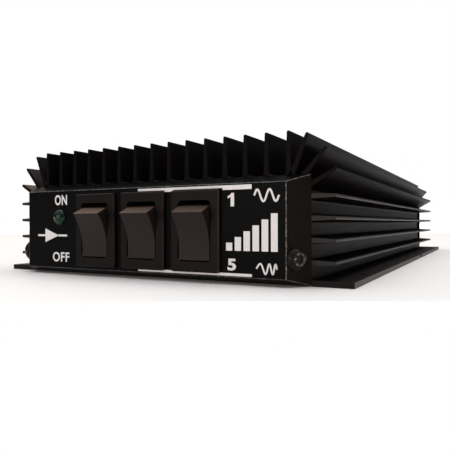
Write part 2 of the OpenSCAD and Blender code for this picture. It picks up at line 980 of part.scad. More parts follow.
module rf_transistor(i) {
    flange = transistor_flange;
    lead = transistor_lead;
    flange_z = deck_under - flange[2];
    cap_low = board_under - transistor_cap_drop;
    color([0.8, 0.78, 0.7])
        translate([transistor_xs[i - 1], transistor_y, 0]) {
            difference() {
                block([-flange[0] / 2, -flange[1] / 2, flange_z],
                      [flange[0] / 2, flange[1] / 2, deck_under]);
                for (side = [-1, 1])
                    translate([side * transistor_screw_dx, 0, flange_z - cut])
                        cylinder(r = screw_pass_r, h = flange[2] + 2 * cut);
            }
            translate([0, 0, cap_low])
                cylinder(r = transistor_cap_r, h = flange_z - cap_low);
            block([-lead[0] / 2, -lead[1] / 2, board_under - lead[2]],
                  [lead[0] / 2, lead[1] / 2, board_under]);
        }
}

module transistor_screws() {
    color([0.6, 0.6, 0.62])
        for (x = transistor_xs, side = [-1, 1])
            rising_screw(x + side * transistor_screw_dx, transistor_y, deck_under - transistor_flange[2]);
}

// Twin ferrite cores under the board with their windings' bores
module twin_core(at, r, length, bore_r) {
    for (side = [-1, 1])
        translate([at[0] + side * r, at[1], board_under - r - 0.2])
            difference() {
                rod_y(r - 0.05, -length / 2, length / 2);
                rod_y(bore_r, -length, length);
            }
    block([at[0] - r * 1.4, at[1] - length / 2, board_under - 0.8],
          [at[0] + r * 1.4, at[1] + length / 2, board_under]);
}

module input_transformer() {
    color([0.22, 0.22, 0.23])
        twin_core(input_core_at, input_core_r, input_core_len, 1.4);
}

module output_transformer() {
    color([0.22, 0.22, 0.23])
        twin_core(output_core_at, core_r, core_len, tube_r + slip_fit);
}

// Brass tubes joined by an end plate at the rear
module transformer_tubes() {
    tube_half = core_len / 2;
    color([0.85, 0.68, 0.35])
        translate([output_core_at[0], output_core_at[1], board_under - core_r - 0.2])
            difference() {
                union() {
                    for (side = [-1, 1])
                        translate([side * core_r, 0, 0])
                            rod_y(tube_r, -tube_half - tube_stub, tube_half + end_plate_t);
                    block([-end_plate_half[0], tube_half, -end_plate_half[1]],
                          [end_plate_half[0], tube_half + end_plate_t, end_plate_half[1]]);
                }
                for (side = [-1, 1])
                    translate([side * core_r, 0, 0])
                        rod_y(tube_r - tube_wall, -core_len, core_len);
            }
}

module filter_coils() {
    color([0.7, 0.42, 0.2])
        for (at = coil_spots)
            translate([at[0], at[1], board_under - coil_wire_r - 0.2]) {
                rotate_extrude()
                    translate([coil_ring_r, 0])
                        circle(r = coil_wire_r, $fn = 32);
                for (side = [-1, 1])
                    translate([side * coil_ring_r, 0, 0])
                        cylinder(r = 0.6, h = coil_wire_r + 0.2, $fn = 24);
            }
}

module relay(at) {
    translate([at[0], at[1], board_under])
        block([-relay_w / 2, -relay_len / 2, -relay_h], [relay_w / 2, relay_len / 2, 0]);
}

module input_relay() {
    color([0.1, 0.1, 0.12])
        relay(input_relay_at);
}

module output_relay() {
    color([0.1, 0.1, 0.12])
        relay(output_relay_at);
}

module smoothing_capacitors() {
    color([0.15, 0.2, 0.4])
        for (at = can_spots)
            translate([at[0], at[1], board_under - can_len]) {
                cylinder(r = can_r, h = can_len - can_seal_h);
                cylinder(r = can_r - can_seal_inset, h = can_len);
            }
}

module disc_capacitors() {
    color([0.75, 0.5, 0.25])
        for (at = disc_spots)
            translate([at[0], at[1], board_under]) {
                translate([0, 0, -disc_r - 1])
                    rotate([0, 90, 0])
                        cylinder(r = disc_r, h = disc_t, center = true);
                for (side = [-1, 1])
                    translate([0, side * 1.25, -disc_r - 0.5])
                        cylinder(r = 0.3, h = disc_r + 0.5, $fn = 24);
            }
}

module attenuator_resistors() {
    color([0.8, 0.75, 0.65])
        for (y = resistor_ys)
            translate([0, y, board_under - resistor_r - 0.4]) {
                rotate([0, 90, 0])
                    cylinder(r = resistor_r, h = resistor_len, center = true);
                for (side = [-1, 1])
                    translate([side * (resistor_len / 2 - 1), 0, 0])
                        cylinder(r = 0.4, h = resistor_r + 0.4, $fn = 24);
            }
}

module supply_choke() {
    color([0.7, 0.4, 0.2])
        translate([choke_at[0], choke_at[1], board_under - choke_r - 0.3]) {
            rod_y(choke_r, -choke_len / 2 + 2, choke_len / 2 - 2);
            rod_y(choke_r - 1.2, -choke_len / 2, choke_len / 2);
            for (side = [-1, 1])
                translate([0, side * (choke_len / 2 - 1), 0])
                    cylinder(r = 0.6, h = choke_r + 0.3, $fn = 24);
        }
}

module bias_regulator() {
    pin = regulator_pin;
    pin_low = board_top - deck_under;
    color([0.12, 0.12, 0.12])
        translate([regulator_at[0], regulator_at[1], deck_under]) {
            block([-regulator_w / 2, -regulator_body_len, -regulator_body_h], [regulator_w / 2, 1, 0]);
            difference() {
                block([-regulator_w / 2, 0, -regulator_tab_t], [regulator_w / 2, regulator_tab_len, 0]);
                translate([0, regulator_hole_y - regulator_at[1], -cut - regulator_tab_t])
                    cylinder(r = screw_pass_r, h = regulator_tab_t + 2 * cut);
            }
            for (row = [-1 : 1])
                block([row * lead_pitch - pin[0] / 2, -regulator_body_len - pin[1], pin_low],
                      [row * lead_pitch + pin[0] / 2, -regulator_body_len, pin_low + pin[2]]);
        }
}

module regulator_screw() {
    color([0.6, 0.6, 0.62])
        rising_screw(regulator_at[0], regulator_hole_y, deck_under - regulator_tab_t);
}

module bias_trimmer_body() {
    color([0.1, 0.25, 0.5])
        translate([trimmer_at[0], trimmer_at[1], board_under - trimmer_h])
            difference() {
                block([-trimmer_w / 2, -trimmer_w / 2, 0], [trimmer_w / 2, trimmer_w / 2, trimmer_h]);
                translate([0, 0, -cut])
                    cylinder(r = trimmer_r + seat_gap, h = trimmer_recess + cut);
            }
}

module bias_trimmer_rotor() {
    color([0.85, 0.83, 0.78])
        translate([trimmer_at[0], trimmer_at[1], board_under - trimmer_h - trimmer_proud])
            difference() {
                cylinder(r = trimmer_r, h = trimmer_proud + trimmer_recess - seat_gap / 2);
                cube([1.6 * trimmer_r, 0.6, 1.2], center = true);
            }
}

module supply_tabs() {
    color([0.75, 0.72, 0.6])
        for (side = [-1, 1])
            translate([side * supply_tab_dx, board_rear_y - 2.5, board_under])
                block([-3.15, -0.4, -supply_tab_h], [3.15, 0.4, 0]);
}

// ---------- rear sockets ----------

// Puts a socket's piece in place: y outwards from the rear panel's face
module at_socket(side) {
    translate([side * socket_x, rear_face_y, socket_z])
        children();
}

module socket_shell(side) {
    color([0.75, 0.75, 0.74])
        at_socket(side)
            difference() {
                union() {
                    rod_y(shell_flange_r, -sheet_t - shell_flange_t, -sheet_t);
                    rod_y(thread_root_r, -sheet_t - shell_flange_t, shell_end);
                    rod_y(thread_r, thread_from, shell_end);
                }
                rod_y(shell_bore_r, -sheet_t - shell_flange_t - cut, shell_end + cut);
            }
}

module socket_insulators() {
    color([0.93, 0.92, 0.88])
        for (side = [-1, 1])
            at_socket(side)
                difference() {
                    rod_y(shell_bore_r - pin_fit, insulator_back, insulator_out);
                    rod_y(contact_r + pin_fit, insulator_back - cut, insulator_out + cut);
                }
}

module socket_contacts() {
    color([0.85, 0.7, 0.35])
        for (side = [-1, 1])
            at_socket(side)
                difference() {
                    union() {
                        rod_y(contact_tail_r, insulator_back - contact_tail, insulator_back + 1);
                        rod_y(contact_r, insulator_back, contact_end);
                    }
                    rod_y(contact_bore_r, contact_end - contact_bore_len, contact_end + cut);
                }
}

module socket_nuts() {
    color([0.72, 0.72, 0.72])
        for (side = [-1, 1])
            at_socket(side)
                difference() {
                    translate([0, washer_t, 0])
                        rotate([-90, 0, 0])
                            cylinder(r = nut_af / 2 / cos(30), h = nut_t, $fn = 6);
                    rod_y(thread_root_r + pin_fit, 0, 2 * nut_t + washer_t);
                }
}

module socket_washers() {
    color([0.7, 0.7, 0.7])
        for (side = [-1, 1])
            at_socket(side)
                difference() {
                    rod_y(washer_r, 0, washer_t);
                    rod_y(thread_r + slip_fit, -cut, washer_t + cut);
                }
}

module socket_wires() {
    start_y = rear_face_y + insulator_back - contact_tail;
    turn_y = board_rear_y - 2;
    color([0.8, 0.78, 0.75])
        for (side = [-1, 1]) {
            x = side * socket_x;
            wire([[x, start_y, socket_z], [x, turn_y, socket_z], [x, turn_y, board_under]], 0.8);
        }
}

module power_lead_grommet() {
    color([0.06, 0.06, 0.06])
        translate([0, rear_face_y, socket_z])
            difference() {
                union() {
                    rod_y(grommet_flange_r, -sheet_t - grommet_flange_t, -sheet_t);
                    rod_y(grommet_waist_r, -sheet_t - cut / 2, cut / 2);
                    rod_y(grommet_flange_r, 0, grommet_flange_t);
                }
                rod_y(lead_bore_r, -sheet_t - 2 * grommet_flange_t, 2 * grommet_flange_t);
            }
}

// ---------- nodes ----------

heatsink();
base_plate();
base_screws();
front_panel();
rear_panel();
panel_brackets();
front_panel_screws();
rear_panel_screws();
switch_body(1);  // switch_body_1
switch_body(2);  // switch_body_2
switch_body(3);  // switch_body_3
rocker(1);  // rocker_1
rocker(2);  // rocker_2
rocker(3);  // rocker_3
rocker_plunger(1);  // rocker_plunger_1
rocker_plunger(2);  // rocker_plunger_2
rocker_plunger(3);  // rocker_plunger_3
plunger_spring(1);  // plunger_spring_1
plunger_spring(2);  // plunger_spring_2
plunger_spring(3);  // plunger_spring_3
contact_lever(1);  // contact_lever_1
contact_lever(2);  // contact_lever_2
contact_lever(3);  // contact_lever_3
switch_terminals(1);  // switch_terminals_1
switch_terminals(2);  // switch_terminals_2
switch_terminals(3);  // switch_terminals_3
switch_wires();
light_lens();
light_clip();
light_leads();
circuit_board();
board_spacers();
board_screws();
rf_transistor(1);  // rf_transistor_1
rf_transistor(2);  // rf_transistor_2
transistor_screws();
input_transformer();
output_transformer();
transformer_tubes();
filter_coils();
input_relay();
output_relay();
smoothing_capacitors();
disc_capacitors();
attenuator_resistors();
supply_choke();
bias_regulator();
regulator_screw();
bias_trimmer_body();
bias_trimmer_rotor();
supply_tabs();
socket_shell(-1);  // input_socket_shell
socket_shell(1);  // output_socket_shell
socket_insulators();
socket_contacts();
socket_nuts();
socket_washers();
socket_wires();
power_lead_grommet();
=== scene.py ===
# %% [markdown]
# # Dressing a finned radio amplifier
# This lesson takes the plain solids of a small amplifier and gives them the look of the real
# thing. The solids come from a frame that is already the right size and stands in the right
# place, so nothing here is fitted or scaled. Every cell makes one piece or one finish.

# %% Load the frame
import math

import bmesh
import bpy
from mathutils import Matrix, Vector


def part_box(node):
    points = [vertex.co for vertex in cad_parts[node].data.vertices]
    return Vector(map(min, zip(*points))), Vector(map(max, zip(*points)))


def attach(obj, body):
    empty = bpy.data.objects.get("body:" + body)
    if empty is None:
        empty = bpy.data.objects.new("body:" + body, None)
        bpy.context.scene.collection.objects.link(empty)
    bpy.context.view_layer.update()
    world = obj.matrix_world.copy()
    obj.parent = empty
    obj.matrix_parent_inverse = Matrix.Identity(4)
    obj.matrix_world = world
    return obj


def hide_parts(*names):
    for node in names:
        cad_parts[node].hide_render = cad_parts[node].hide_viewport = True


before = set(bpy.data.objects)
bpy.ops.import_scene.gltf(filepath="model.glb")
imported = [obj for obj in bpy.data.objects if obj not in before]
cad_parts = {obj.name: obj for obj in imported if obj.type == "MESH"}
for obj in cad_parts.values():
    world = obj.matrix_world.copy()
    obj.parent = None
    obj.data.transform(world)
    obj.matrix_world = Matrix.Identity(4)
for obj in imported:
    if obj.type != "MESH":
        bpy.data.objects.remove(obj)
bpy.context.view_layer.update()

# %% [markdown]
# ## Working in millimetres
# Blender's unit is the metre, but an amplifier is drawn in millimetres. Each mesh is built in
# millimetres and shrunk once at the end, which keeps the numbers readable and keeps Blender's
# merge and bevel tolerances, which suit sizes near one, away from thousandths.

# %% Sizes that several pieces share
MM = 0.001


def mm_box(node):
    """The low and the high corner of a node, in millimetres."""
    low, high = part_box(node)
    return low / MM, high / MM


housing_low, housing_high = mm_box("heatsink")
plate_low, plate_high = mm_box("base_plate")
base_t = plate_high.z - plate_low.z
front_y, rear_y = housing_low.y, housing_high.y
face_y = mm_box("front_panel")[0].y
panel_depth = front_y - face_y
# half the panel's width, and how far each slanted wing reaches inwards from there
panel_half, wing_run = 48, 4.25
face_half = panel_half - wing_run
print("housing", [round(c, 2) for c in housing_high - housing_low], "face at", round(face_y, 2))

# %% [markdown]
# ## The camera
# The photograph was taken from low down and from the right, almost level, with a normal lens.
# The place, direction and focal length were worked out from the panel's corners and the fin
# tips, so the camera is set by numbers and not by eye.

# %% Camera
picture_size = 450
camera_data = bpy.data.cameras.new("photo_camera")
camera_data.sensor_width = 36
camera_data.lens = 40.15
camera = bpy.data.objects.new("photo_camera", camera_data)
bpy.context.scene.collection.objects.link(camera)
camera_place = Vector((87.29, -217.69, 15.48)) * MM
turn = Matrix.Rotation(math.radians(28.241), 4, "Z")
tilt = Matrix.Rotation(math.radians(90 - 0.199), 4, "X")
roll = Matrix.Rotation(math.radians(-0.112), 4, "Z")
camera.matrix_world = Matrix.Translation(camera_place) @ turn @ tilt @ roll
bpy.context.scene.camera = camera


def pixel_of(point):
    """Where a point in millimetres falls in the square picture."""
    seen = camera.matrix_world.inverted() @ (Vector(point) * MM)
    scale = picture_size * camera_data.lens / camera_data.sensor_width
    return picture_size / 2 + scale * seen.x / -seen.z, picture_size / 2 - scale * seen.y / -seen.z


bpy.context.view_layer.update()
corner = pixel_of((face_half, face_y, 25.5))
print("panel's right top corner is seen at", [round(c, 1) for c in corner])

# %% [markdown]
# ## The floor
# The photograph is cut out on white. The floor is a wide pale sheet just under the base plate.
# Close to the amplifier it is lit like any paper, and further out it glows more and more, so
# that its edge melts into the white room. Materials and Geometry Nodes are both made of nodes
# whose inputs take a value or another node's output, so one helper serves every tree here.

# %% Helpers for nodes, and the floor
def fill(tree, node, values):
    """Gives each input its value, or a link where the value is another node's output."""
    for name, value in values.items():
        if isinstance(value, bpy.types.NodeSocket):
            tree.links.new(value, node.inputs[name])
        else:
            node.inputs[name].default_value = value
    return node


def add_node(tree, kind, values=None, **settings):
    """Makes a node, applies its settings, then fills its inputs."""
    node = tree.nodes.new(kind)
    for name, value in settings.items():
        setattr(node, name, value)
    return fill(tree, node, values or {})


floor_half, floor_drop = 6, 0.00005
pale = bpy.data.materials.new("pale_floor")
pale.use_nodes = True
tree = pale.node_tree
place = add_node(tree, "ShaderNodeTexCoord")
reach = add_node(tree, "ShaderNodeVectorMath", {0: place.outputs["Object"]}, operation="LENGTH")
glow = add_node(tree, "ShaderNodeMapRange", {
    "Value": reach.outputs["Value"], "From Min": 0.5, "From Max": 1.5, "To Max": 0.9})
fill(tree, tree.nodes["Principled BSDF"], {
    "Base Color": (0.86, 0.86, 0.86, 1), "Roughness": 0.6,
    "Emission Color": (1, 1, 1, 1), "Emission Strength": glow.outputs[0]})
sheet = bpy.data.meshes.new("studio_floor")
sheet.from_pydata([(x * floor_half, y * floor_half, -floor_drop)
                   for x, y in ((-1, -1), (1, -1), (1, 1), (-1, 1))], [], [(0, 1, 2, 3)])
floor = bpy.data.objects.new("studio_floor", sheet)
floor.data.materials.append(pale)
bpy.context.scene.collection.objects.link(floor)
print("floor is", 2 * floor_half, "m wide")

# %% [markdown]
# ## The lamps
# A black object is lit by what it reflects. A wide soft lamp overhead whitens the floor and
# the tops of the fins, a warm one behind on the left rims them, and a low warm strip on the
# right gives the brown sheen on the side. A small one warms the rockers, and a weak one in
# front keeps the panel readable. Sizes and places are in metres.

# %% Lamps
lamps = {}
for name, place, aim, size, watts, colour in (
    ("lamp_overhead", (0.1, 0.1, 1.1), (0, 0, 0), (1.2, 1.2), 6, (1, 0.98, 0.96)),
    ("lamp_back_left", (-0.75, 0.62, 0.78), (0, -0.1, 0), (0.5, 0.45), 1.6, (1, 0.7, 0.5)),
    ("lamp_right", (0.9, -0.45, 0.04), (0.04, -0.05, 0.01), (0.5, 0.07), 3.8, (1, 0.70, 0.58)),
    ("lamp_rockers", (-0.27, -0.15, 0.36), (-0.02, -0.11, 0.02), (0.2, 0.2), 2.9, (1, 0.72, 0.52)),
    ("lamp_front", (-0.2, -1.1, 0.2), (0, 0, 0), (0.7, 0.25), 2.3, (1, 0.97, 0.95)),
):
    data = bpy.data.lights.new(name, "AREA")
    data.shape = "RECTANGLE"
    data.size, data.size_y = size
    data.energy = watts
    data.color = colour
    lamp = bpy.data.objects.new(name, data)
    lamp.location = place
    lamp.rotation_euler = (Vector(aim) - Vector(place)).to_track_quat("-Z", "Y").to_euler()
    bpy.context.scene.collection.objects.link(lamp)
    lamps[name] = lamp
print("lamps:", list(lamps))

# %% [markdown]
# ## The room
# The room is a world that is dim near the floor and bright overhead, which is what black paint
# mirrors. The camera should see plain white behind the amplifier, so rays that come straight
# from the camera get a white backdrop and all others get the shaded room.

# %% Room
world = bpy.data.worlds.new("studio")
world.use_nodes = True
tree = world.node_tree
way = add_node(tree, "ShaderNodeTexCoord")
rise = add_node(tree, "ShaderNodeSeparateXYZ", {0: way.outputs["Generated"]})
shade = add_node(tree, "ShaderNodeMapRange", {
    "Value": rise.outputs["Z"], "From Min": 0.15, "From Max": 0.9, "To Min": 0.12, "To Max": 1.1,
}, interpolation_type="SMOOTHSTEP")
room = fill(tree, tree.nodes["Background"], {"Strength": 1, "Color": shade.outputs[0]})
backdrop = add_node(tree, "ShaderNodeBackground", {"Color": (1, 1, 1, 1)})
light_path = add_node(tree, "ShaderNodeLightPath")
blend = add_node(tree, "ShaderNodeMixShader", {
    0: light_path.outputs["Is Camera Ray"], 1: room.outputs[0], 2: backdrop.outputs[0]})
fill(tree, tree.nodes["World Output"], {"Surface": blend.outputs[0]})
bpy.context.scene.world = world
bpy.context.scene.view_settings.view_transform = "Standard"
print("the room has", len(tree.nodes), "nodes")

# %% [markdown]
# ## Finishes
# Real surfaces are never one flat colour. Each finish mixes two close colours through a broad
# cloudy noise, lets a fine grain change the roughness, and raises the same grain as a bump.
# Stretching the grain along one axis turns it into drawing or extrusion lines.

# %% A finish made from grain and cloud
def finish(name, colour, second, roughness, grain=0.4, stretch=(1, 1, 1), bump=0.01, spread=0.08,
           cloud=12.0, **sockets):
    """A material. Grain, cloud and bump are in millimetres, sockets are the shader's own."""
    material = bpy.data.materials.new(name)
    material.use_nodes = True
    tree = material.node_tree
    shader = tree.nodes["Principled BSDF"]
    fill(tree, shader, {socket.replace("_", " "): value for socket, value in sockets.items()})
    place = add_node(tree, "ShaderNodeTexCoord")

    def noise(size, shape):
        scale = [1 / (size * MM * s) for s in shape]
        mapping = add_node(tree, "ShaderNodeMapping", {"Vector": place.outputs["Object"], "Scale": scale})
        texture = add_node(tree, "ShaderNodeTexNoise", {
            "Vector": mapping.outputs[0], "Scale": 1, "Detail": 4})
        return texture.outputs["Fac"]

    fine, broad = noise(grain, stretch), noise(cloud, (1, 1, 1))
    tint = add_node(tree, "ShaderNodeMix", {
        "A": (*colour, 1), "B": (*second, 1), "Factor": broad}, data_type="RGBA")
    shine = add_node(tree, "ShaderNodeMapRange", {
        "Value": fine, "To Min": roughness - spread, "To Max": roughness + spread})
    raised = add_node(tree, "ShaderNodeBump", {"Strength": 1, "Distance": bump * MM, "Height": fine})
    fill(tree, shader, {"Base Color": tint.outputs["Result"], "Roughness": shine.outputs[0],
                        "Normal": raised.outputs[0]})
    return material


# the extrusion's lines run along Y, so its grain is stretched that way
anodised = finish("black_anodised", (0.0012, 0.0008, 0.0008), (0.0024, 0.0017, 0.0016), 0.45,
                  grain=0.35, stretch=(1, 60, 1), bump=0.012, cloud=30, Specular_IOR_Level=0.055,
                  Specular_Tint=(1, 0.86, 0.82, 1))
print("first finish:", anodised.name)

# %% [markdown]
# ### The blacks of the outside
# Almost everything outside is black, yet each black differs. The level fins' ends and tips are greyer than
# the drawn faces: painted light on the ends and a painted highlight on the tips, where light from the right
# falls. The plate is painted matt, and the panel's paint is deeper. The rockers' plastic is a little brown.
# Only the screws have some metal in them.

# %% Finishes of the outside
# painted light: the level fins' ends are lighter, as where light from the right falls on them
lit_fin_ends = finish("sawn_anodised", (0.014, 0.0135, 0.011), (0.008, 0.0075, 0.006), 0.5,
                  grain=0.2, stretch=(20, 1, 1), bump=0.012, cloud=1.2, Specular_IOR_Level=0.25)
# painted highlight: a lighter line along the level fins' tips, where they catch the light
tip_highlight = finish("rubbed_tips", (0.024, 0.021, 0.019), (0.010, 0.0085, 0.008), 0.42,
                    grain=0.3, stretch=(1, 30, 1), bump=0.01, cloud=12, Specular_IOR_Level=0.17)
plate_paint = finish("black_plate", (0.0034, 0.0024, 0.0023), (0.0068, 0.0048, 0.0045), 0.5,
                     grain=0.5, bump=0.01, cloud=20, Specular_IOR_Level=0.12)
panel_paint = finish("panel_black", (0.0004, 0.0003, 0.0003), (0.0007, 0.0006, 0.0006), 0.42,
                     grain=0.45, bump=0.012, cloud=18, Specular_IOR_Level=0.055)
bezel_plastic = finish("switch_black", (0.0028, 0.0021, 0.0022), (0.0042, 0.0034, 0.0035), 0.42,
                       grain=0.12, bump=0.01, cloud=6, Specular_IOR_Level=0.11,
                       Specular_Tint=(1, 0.85, 0.82, 1))
rocker_plastic = finish("rocker_brown", (0.0045, 0.0030, 0.0030), (0.0062, 0.0044, 0.0043), 0.5,
                        grain=0.1, bump=0.01, cloud=5, Specular_IOR_Level=0.26,
                        Specular_Tint=(1, 0.82, 0.76, 1))
dark_screw = finish("dark_screw", (0.0035, 0.003, 0.0028), (0.011, 0.0095, 0.009), 0.26,
                    grain=0.15, bump=0.01, cloud=1.2, Metallic=0.1, Specular_IOR_Level=0.1)
print("materials so far:", len(bpy.data.materials))

# %% [markdown]
# ## Meshes from the frame
# A node of the frame is a soup of loose triangles. A copy is merged, its flat faces are joined
# again, and only then can a bevel run along its real edges. The node itself is never touched.

# %% Copy and soften
def cad_copy(node):
    """The node's shape as an editable mesh in millimetres."""
    form = bmesh.new()
    form.from_mesh(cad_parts[node].data)
    bmesh.ops.scale(form, vec=(1 / MM,) * 3, verts=form.verts)
    bmesh.ops.remove_doubles(form, verts=form.verts, dist=0.002)
    bmesh.ops.dissolve_limit(form, angle_limit=math.radians(0.4), verts=form.verts, edges=form.edges)
    return form


def soften(form, width, segments=2, sharper_than=30, only=None, material=-1):
    """Rounds the edges that turn by more than an angle, or those that a test picks."""
    form.edges.ensure_lookup_table()
    picked = [
        e for e in form.edges
        if len(e.link_faces) == 2
        and e.calc_face_angle(0) > math.radians(sharper_than)
        and (only is None or only(e))
    ]
    bmesh.ops.bevel(form, geom=picked, offset=width, offset_type="OFFSET", segments=segments,
                    profile=0.5, affect="EDGES", clamp_overlap=True, material=material)
    return len(picked)


trial = cad_copy("base_plate")
print("a merged copy of the base plate has", len(trial.faces), "faces and", len(trial.edges), "edges")
trial.free()

# %% [markdown]
# ## From an editable mesh to a finished piece
# A finished piece is one object in metres at the origin. Faces are shaded smooth up to an angle, and
# normals weighted by area keep large faces flat beside their rounded edges. Last, the piece is fixed to its
# body and put in the place of its nodes.

# %% Keep and dress
def keep_mesh(name, mesh, materials, smooth=30):
    """Turns a mesh in millimetres into a smooth-shaded object in metres."""
    mesh.transform(Matrix.Scale(MM, 4))
    mesh.polygons.foreach_set("use_smooth", [True] * len(mesh.polygons))
    mesh.set_sharp_from_angle(angle=math.radians(smooth))
    if not mesh.materials:
        for material in materials:
            mesh.materials.append(material)
    piece = bpy.data.objects.new(name, mesh)
    bpy.context.scene.collection.objects.link(piece)
    piece.modifiers.new("weigh", "WEIGHTED_NORMAL").keep_sharp = True
    evaluated = piece.evaluated_get(bpy.context.evaluated_depsgraph_get())
    piece.data = bpy.data.meshes.new_from_object(evaluated)
    piece.modifiers.clear()
    return piece


def keep(name, form, materials, smooth=30):
    """The same for an editable mesh, which is used up."""
    mesh = bpy.data.meshes.new(name)
    form.to_mesh(mesh)
    form.free()
    return keep_mesh(name, mesh, materials, smooth)


def dress(piece, body, slot, *nodes):
    """Fixes a finished piece to its body and lets it stand for its nodes."""
    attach(piece, body)
    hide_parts(*nodes)
    print(piece.name, "faces", len(piece.data.polygons), "for", ", ".join(nodes))
    return piece


def soft_piece(name, node, body, slot, finishes, width, segments=2, sharper_than=50, finish_at=None):
    """A node's own shape with soft edges. finish_at picks a finish by the middle of a face."""
    form = cad_copy(node)
    soften(form, width, segments, sharper_than)
    if finish_at:
        for face in form.faces:
            face.material_index = finish_at(face.calc_center_median())
    return dress(keep(name, form, finishes), body, slot, node)


# %% [markdown]
# ## Writing a Geometry Nodes tree
# A tree is a recipe with named sizes that is hung on a mesh. Arithmetic inside a tree takes
# one node a step, so a helper gives each step the look of a function call. Every tree here
# ends in the same two nodes, so they have a helper too.

# %% Helpers for trees
def new_tree(name, sizes):
    """A tree with a mesh in, a mesh out, and one input for each named size."""
    tree = bpy.data.node_groups.new(name, "GeometryNodeTree")
    face = tree.interface
    face.new_socket("Geometry", in_out="INPUT", socket_type="NodeSocketGeometry")
    for label, kind in sizes.items():
        face.new_socket(label, in_out="INPUT", socket_type="NodeSocket" + kind)
    face.new_socket("Geometry", in_out="OUTPUT", socket_type="NodeSocketGeometry")
    return tree, tree.nodes.new("NodeGroupInput").outputs, tree.nodes.new("NodeGroupOutput")


def arithmetic(tree):
    """A function that adds one step of arithmetic on numbers or other nodes' outputs."""
    def step(work, a, b=0.0, c=0.0):
        return add_node(tree, "ShaderNodeMath", {0: a, 1: b, 2: c}, operation=work).outputs[0]
    return step


def attribute(tree, name, kind):
    """Reads a value that every point or face of the mesh carries."""
    node = add_node(tree, "GeometryNodeInputNamedAttribute", {"Name": name}, data_type=kind)
    return next(socket for socket in node.outputs if socket.enabled)


def made_real(tree, geometry, material):
    """The end of every tree: instances become mesh and get their finish."""
    real = add_node(tree, "GeometryNodeRealizeInstances", {0: geometry})
    paint = add_node(tree, "GeometryNodeSetMaterial", {"Geometry": real.outputs[0], "Material": material})
    return paint.outputs[0]


# %% [markdown]
# ### Growing a tree
# The modifier that holds a tree is only needed for a moment. Its inputs are set by identifier
# before the object is first evaluated, and a plain copy of the result is taken off.

# %% Grow
def grow(tree, base, **values):
    """Hangs the tree on a mesh and returns what it makes as a plain mesh."""
    holder = bpy.data.objects.new("holder", base)
    bpy.context.scene.collection.objects.link(holder)
    modifier = holder.modifiers.new("grow", "NODES")
    modifier.node_group = tree
    for item in tree.interface.items_tree:
        label = item.name.replace(" ", "_")
        if item.in_out == "INPUT" and label in values:
            modifier[item.identifier] = values[label]
    evaluated = holder.evaluated_get(bpy.context.evaluated_depsgraph_get())
    mesh = bpy.data.meshes.new_from_object(evaluated)
    holder.modifiers.remove(modifier)
    bpy.data.objects.remove(holder)
    return mesh


# %% [markdown]
# ## The finned housing
# The housing is one aluminium extrusion: a deck and two walls with fins that all have the same
# tapering blade. The deck is drawn as a section and pushed through. The fins follow a rule, so
# they are left to a tree in the next cell.

# %% Section of deck and walls
body_w, body_h, wall_t, deck_t, corner_r = 94, 26, 4, 3.5, 5
inner_r = 1
# the foot of each wall is a slant: this far out, and this high
foot = Vector((1, 8))
half_w = body_w / 2
inner = half_w - wall_t
deck_top = base_t + body_h
deck_under = deck_top - deck_t


def arc(centre, radius, start, end, steps):
    """Points on an arc, angles in degrees from the first axis."""
    angles = [math.radians(start + (end - start) * i / steps) for i in range(steps + 1)]
    return [(centre[0] + radius * math.cos(a), centre[1] + radius * math.sin(a)) for a in angles]


def extrude_y(form, outline, start, end):
    """Pushes an outline in X and Z along Y. It runs anticlockwise as seen from the front."""
    rings = [[form.verts.new((x, y, z)) for x, z in outline] for y in (start, end)]
    count = len(outline)
    for i in range(count):
        j = (i + 1) % count
        form.faces.new((rings[0][i], rings[0][j], rings[1][j], rings[1][i]))
    form.faces.new(rings[0][::-1])
    form.faces.new(rings[1])
    bmesh.ops.recalc_face_normals(form, faces=form.faces)


right = [(half_w + foot.x, base_t), (half_w, base_t + foot.y)]
right += arc((half_w - corner_r, deck_top - corner_r), corner_r, 0, 90, 12)
hollow = [(inner, base_t)] + arc((inner - inner_r, deck_under - inner_r), inner_r, 0, 90, 5)
outline = right + [(-x, z) for x, z in reversed(right)]
outline += [(-x, z) for x, z in hollow] + list(reversed(hollow))
shell = bmesh.new()
extrude_y(shell, outline, front_y, rear_y)
print("shell section has", len(outline), "points")

# %% [markdown]
# ### One blade, planted many times
# The tree makes one blade with a fillet at its root and a round tip, and plants it on each
# root point with that fin's own lean and reach. The blade starts as a block with many rows.
# Each row is moved to its height and given its width, by arithmetic on its position.

# %% Tree that makes and plants the fins
fin_tree, size, result = new_tree("fin_comb", {
    "Length": "Float", "Reach": "Float", "Root thickness": "Float", "Tip thickness": "Float",
    "Root fillet": "Float", "Tip round": "Float", "Rows": "Int", "Finish": "Material",
})
step = arithmetic(fin_tree)


def rounding(radius, past):
    """What an arc of this radius takes up sideways, past its start: r - sqrt(r^2 - past^2)."""
    past = step("MAXIMUM", past)
    inside = step("SUBTRACT", step("POWER", radius, 2.0), step("POWER", past, 2.0))
    return step("SUBTRACT", radius, step("SQRT", step("MAXIMUM", inside)))


block_size = add_node(fin_tree, "ShaderNodeCombineXYZ", {"X": 1, "Y": size["Length"], "Z": 1})
block = add_node(fin_tree, "GeometryNodeMeshCube", {
    "Size": block_size.outputs[0], "Vertices Z": size["Rows"]})
position = add_node(fin_tree, "GeometryNodeInputPosition")
corner = add_node(fin_tree, "ShaderNodeSeparateXYZ", {0: position.outputs[0]}).outputs
# rows close up towards the root and the tip, where the outline curves
swing = step("COSINE", step("MULTIPLY", step("ADD", corner["Z"], 0.5), math.pi))
share = step("MULTIPLY_ADD", swing, -0.5, 0.5)
height = step("MULTIPLY", share, size["Reach"])
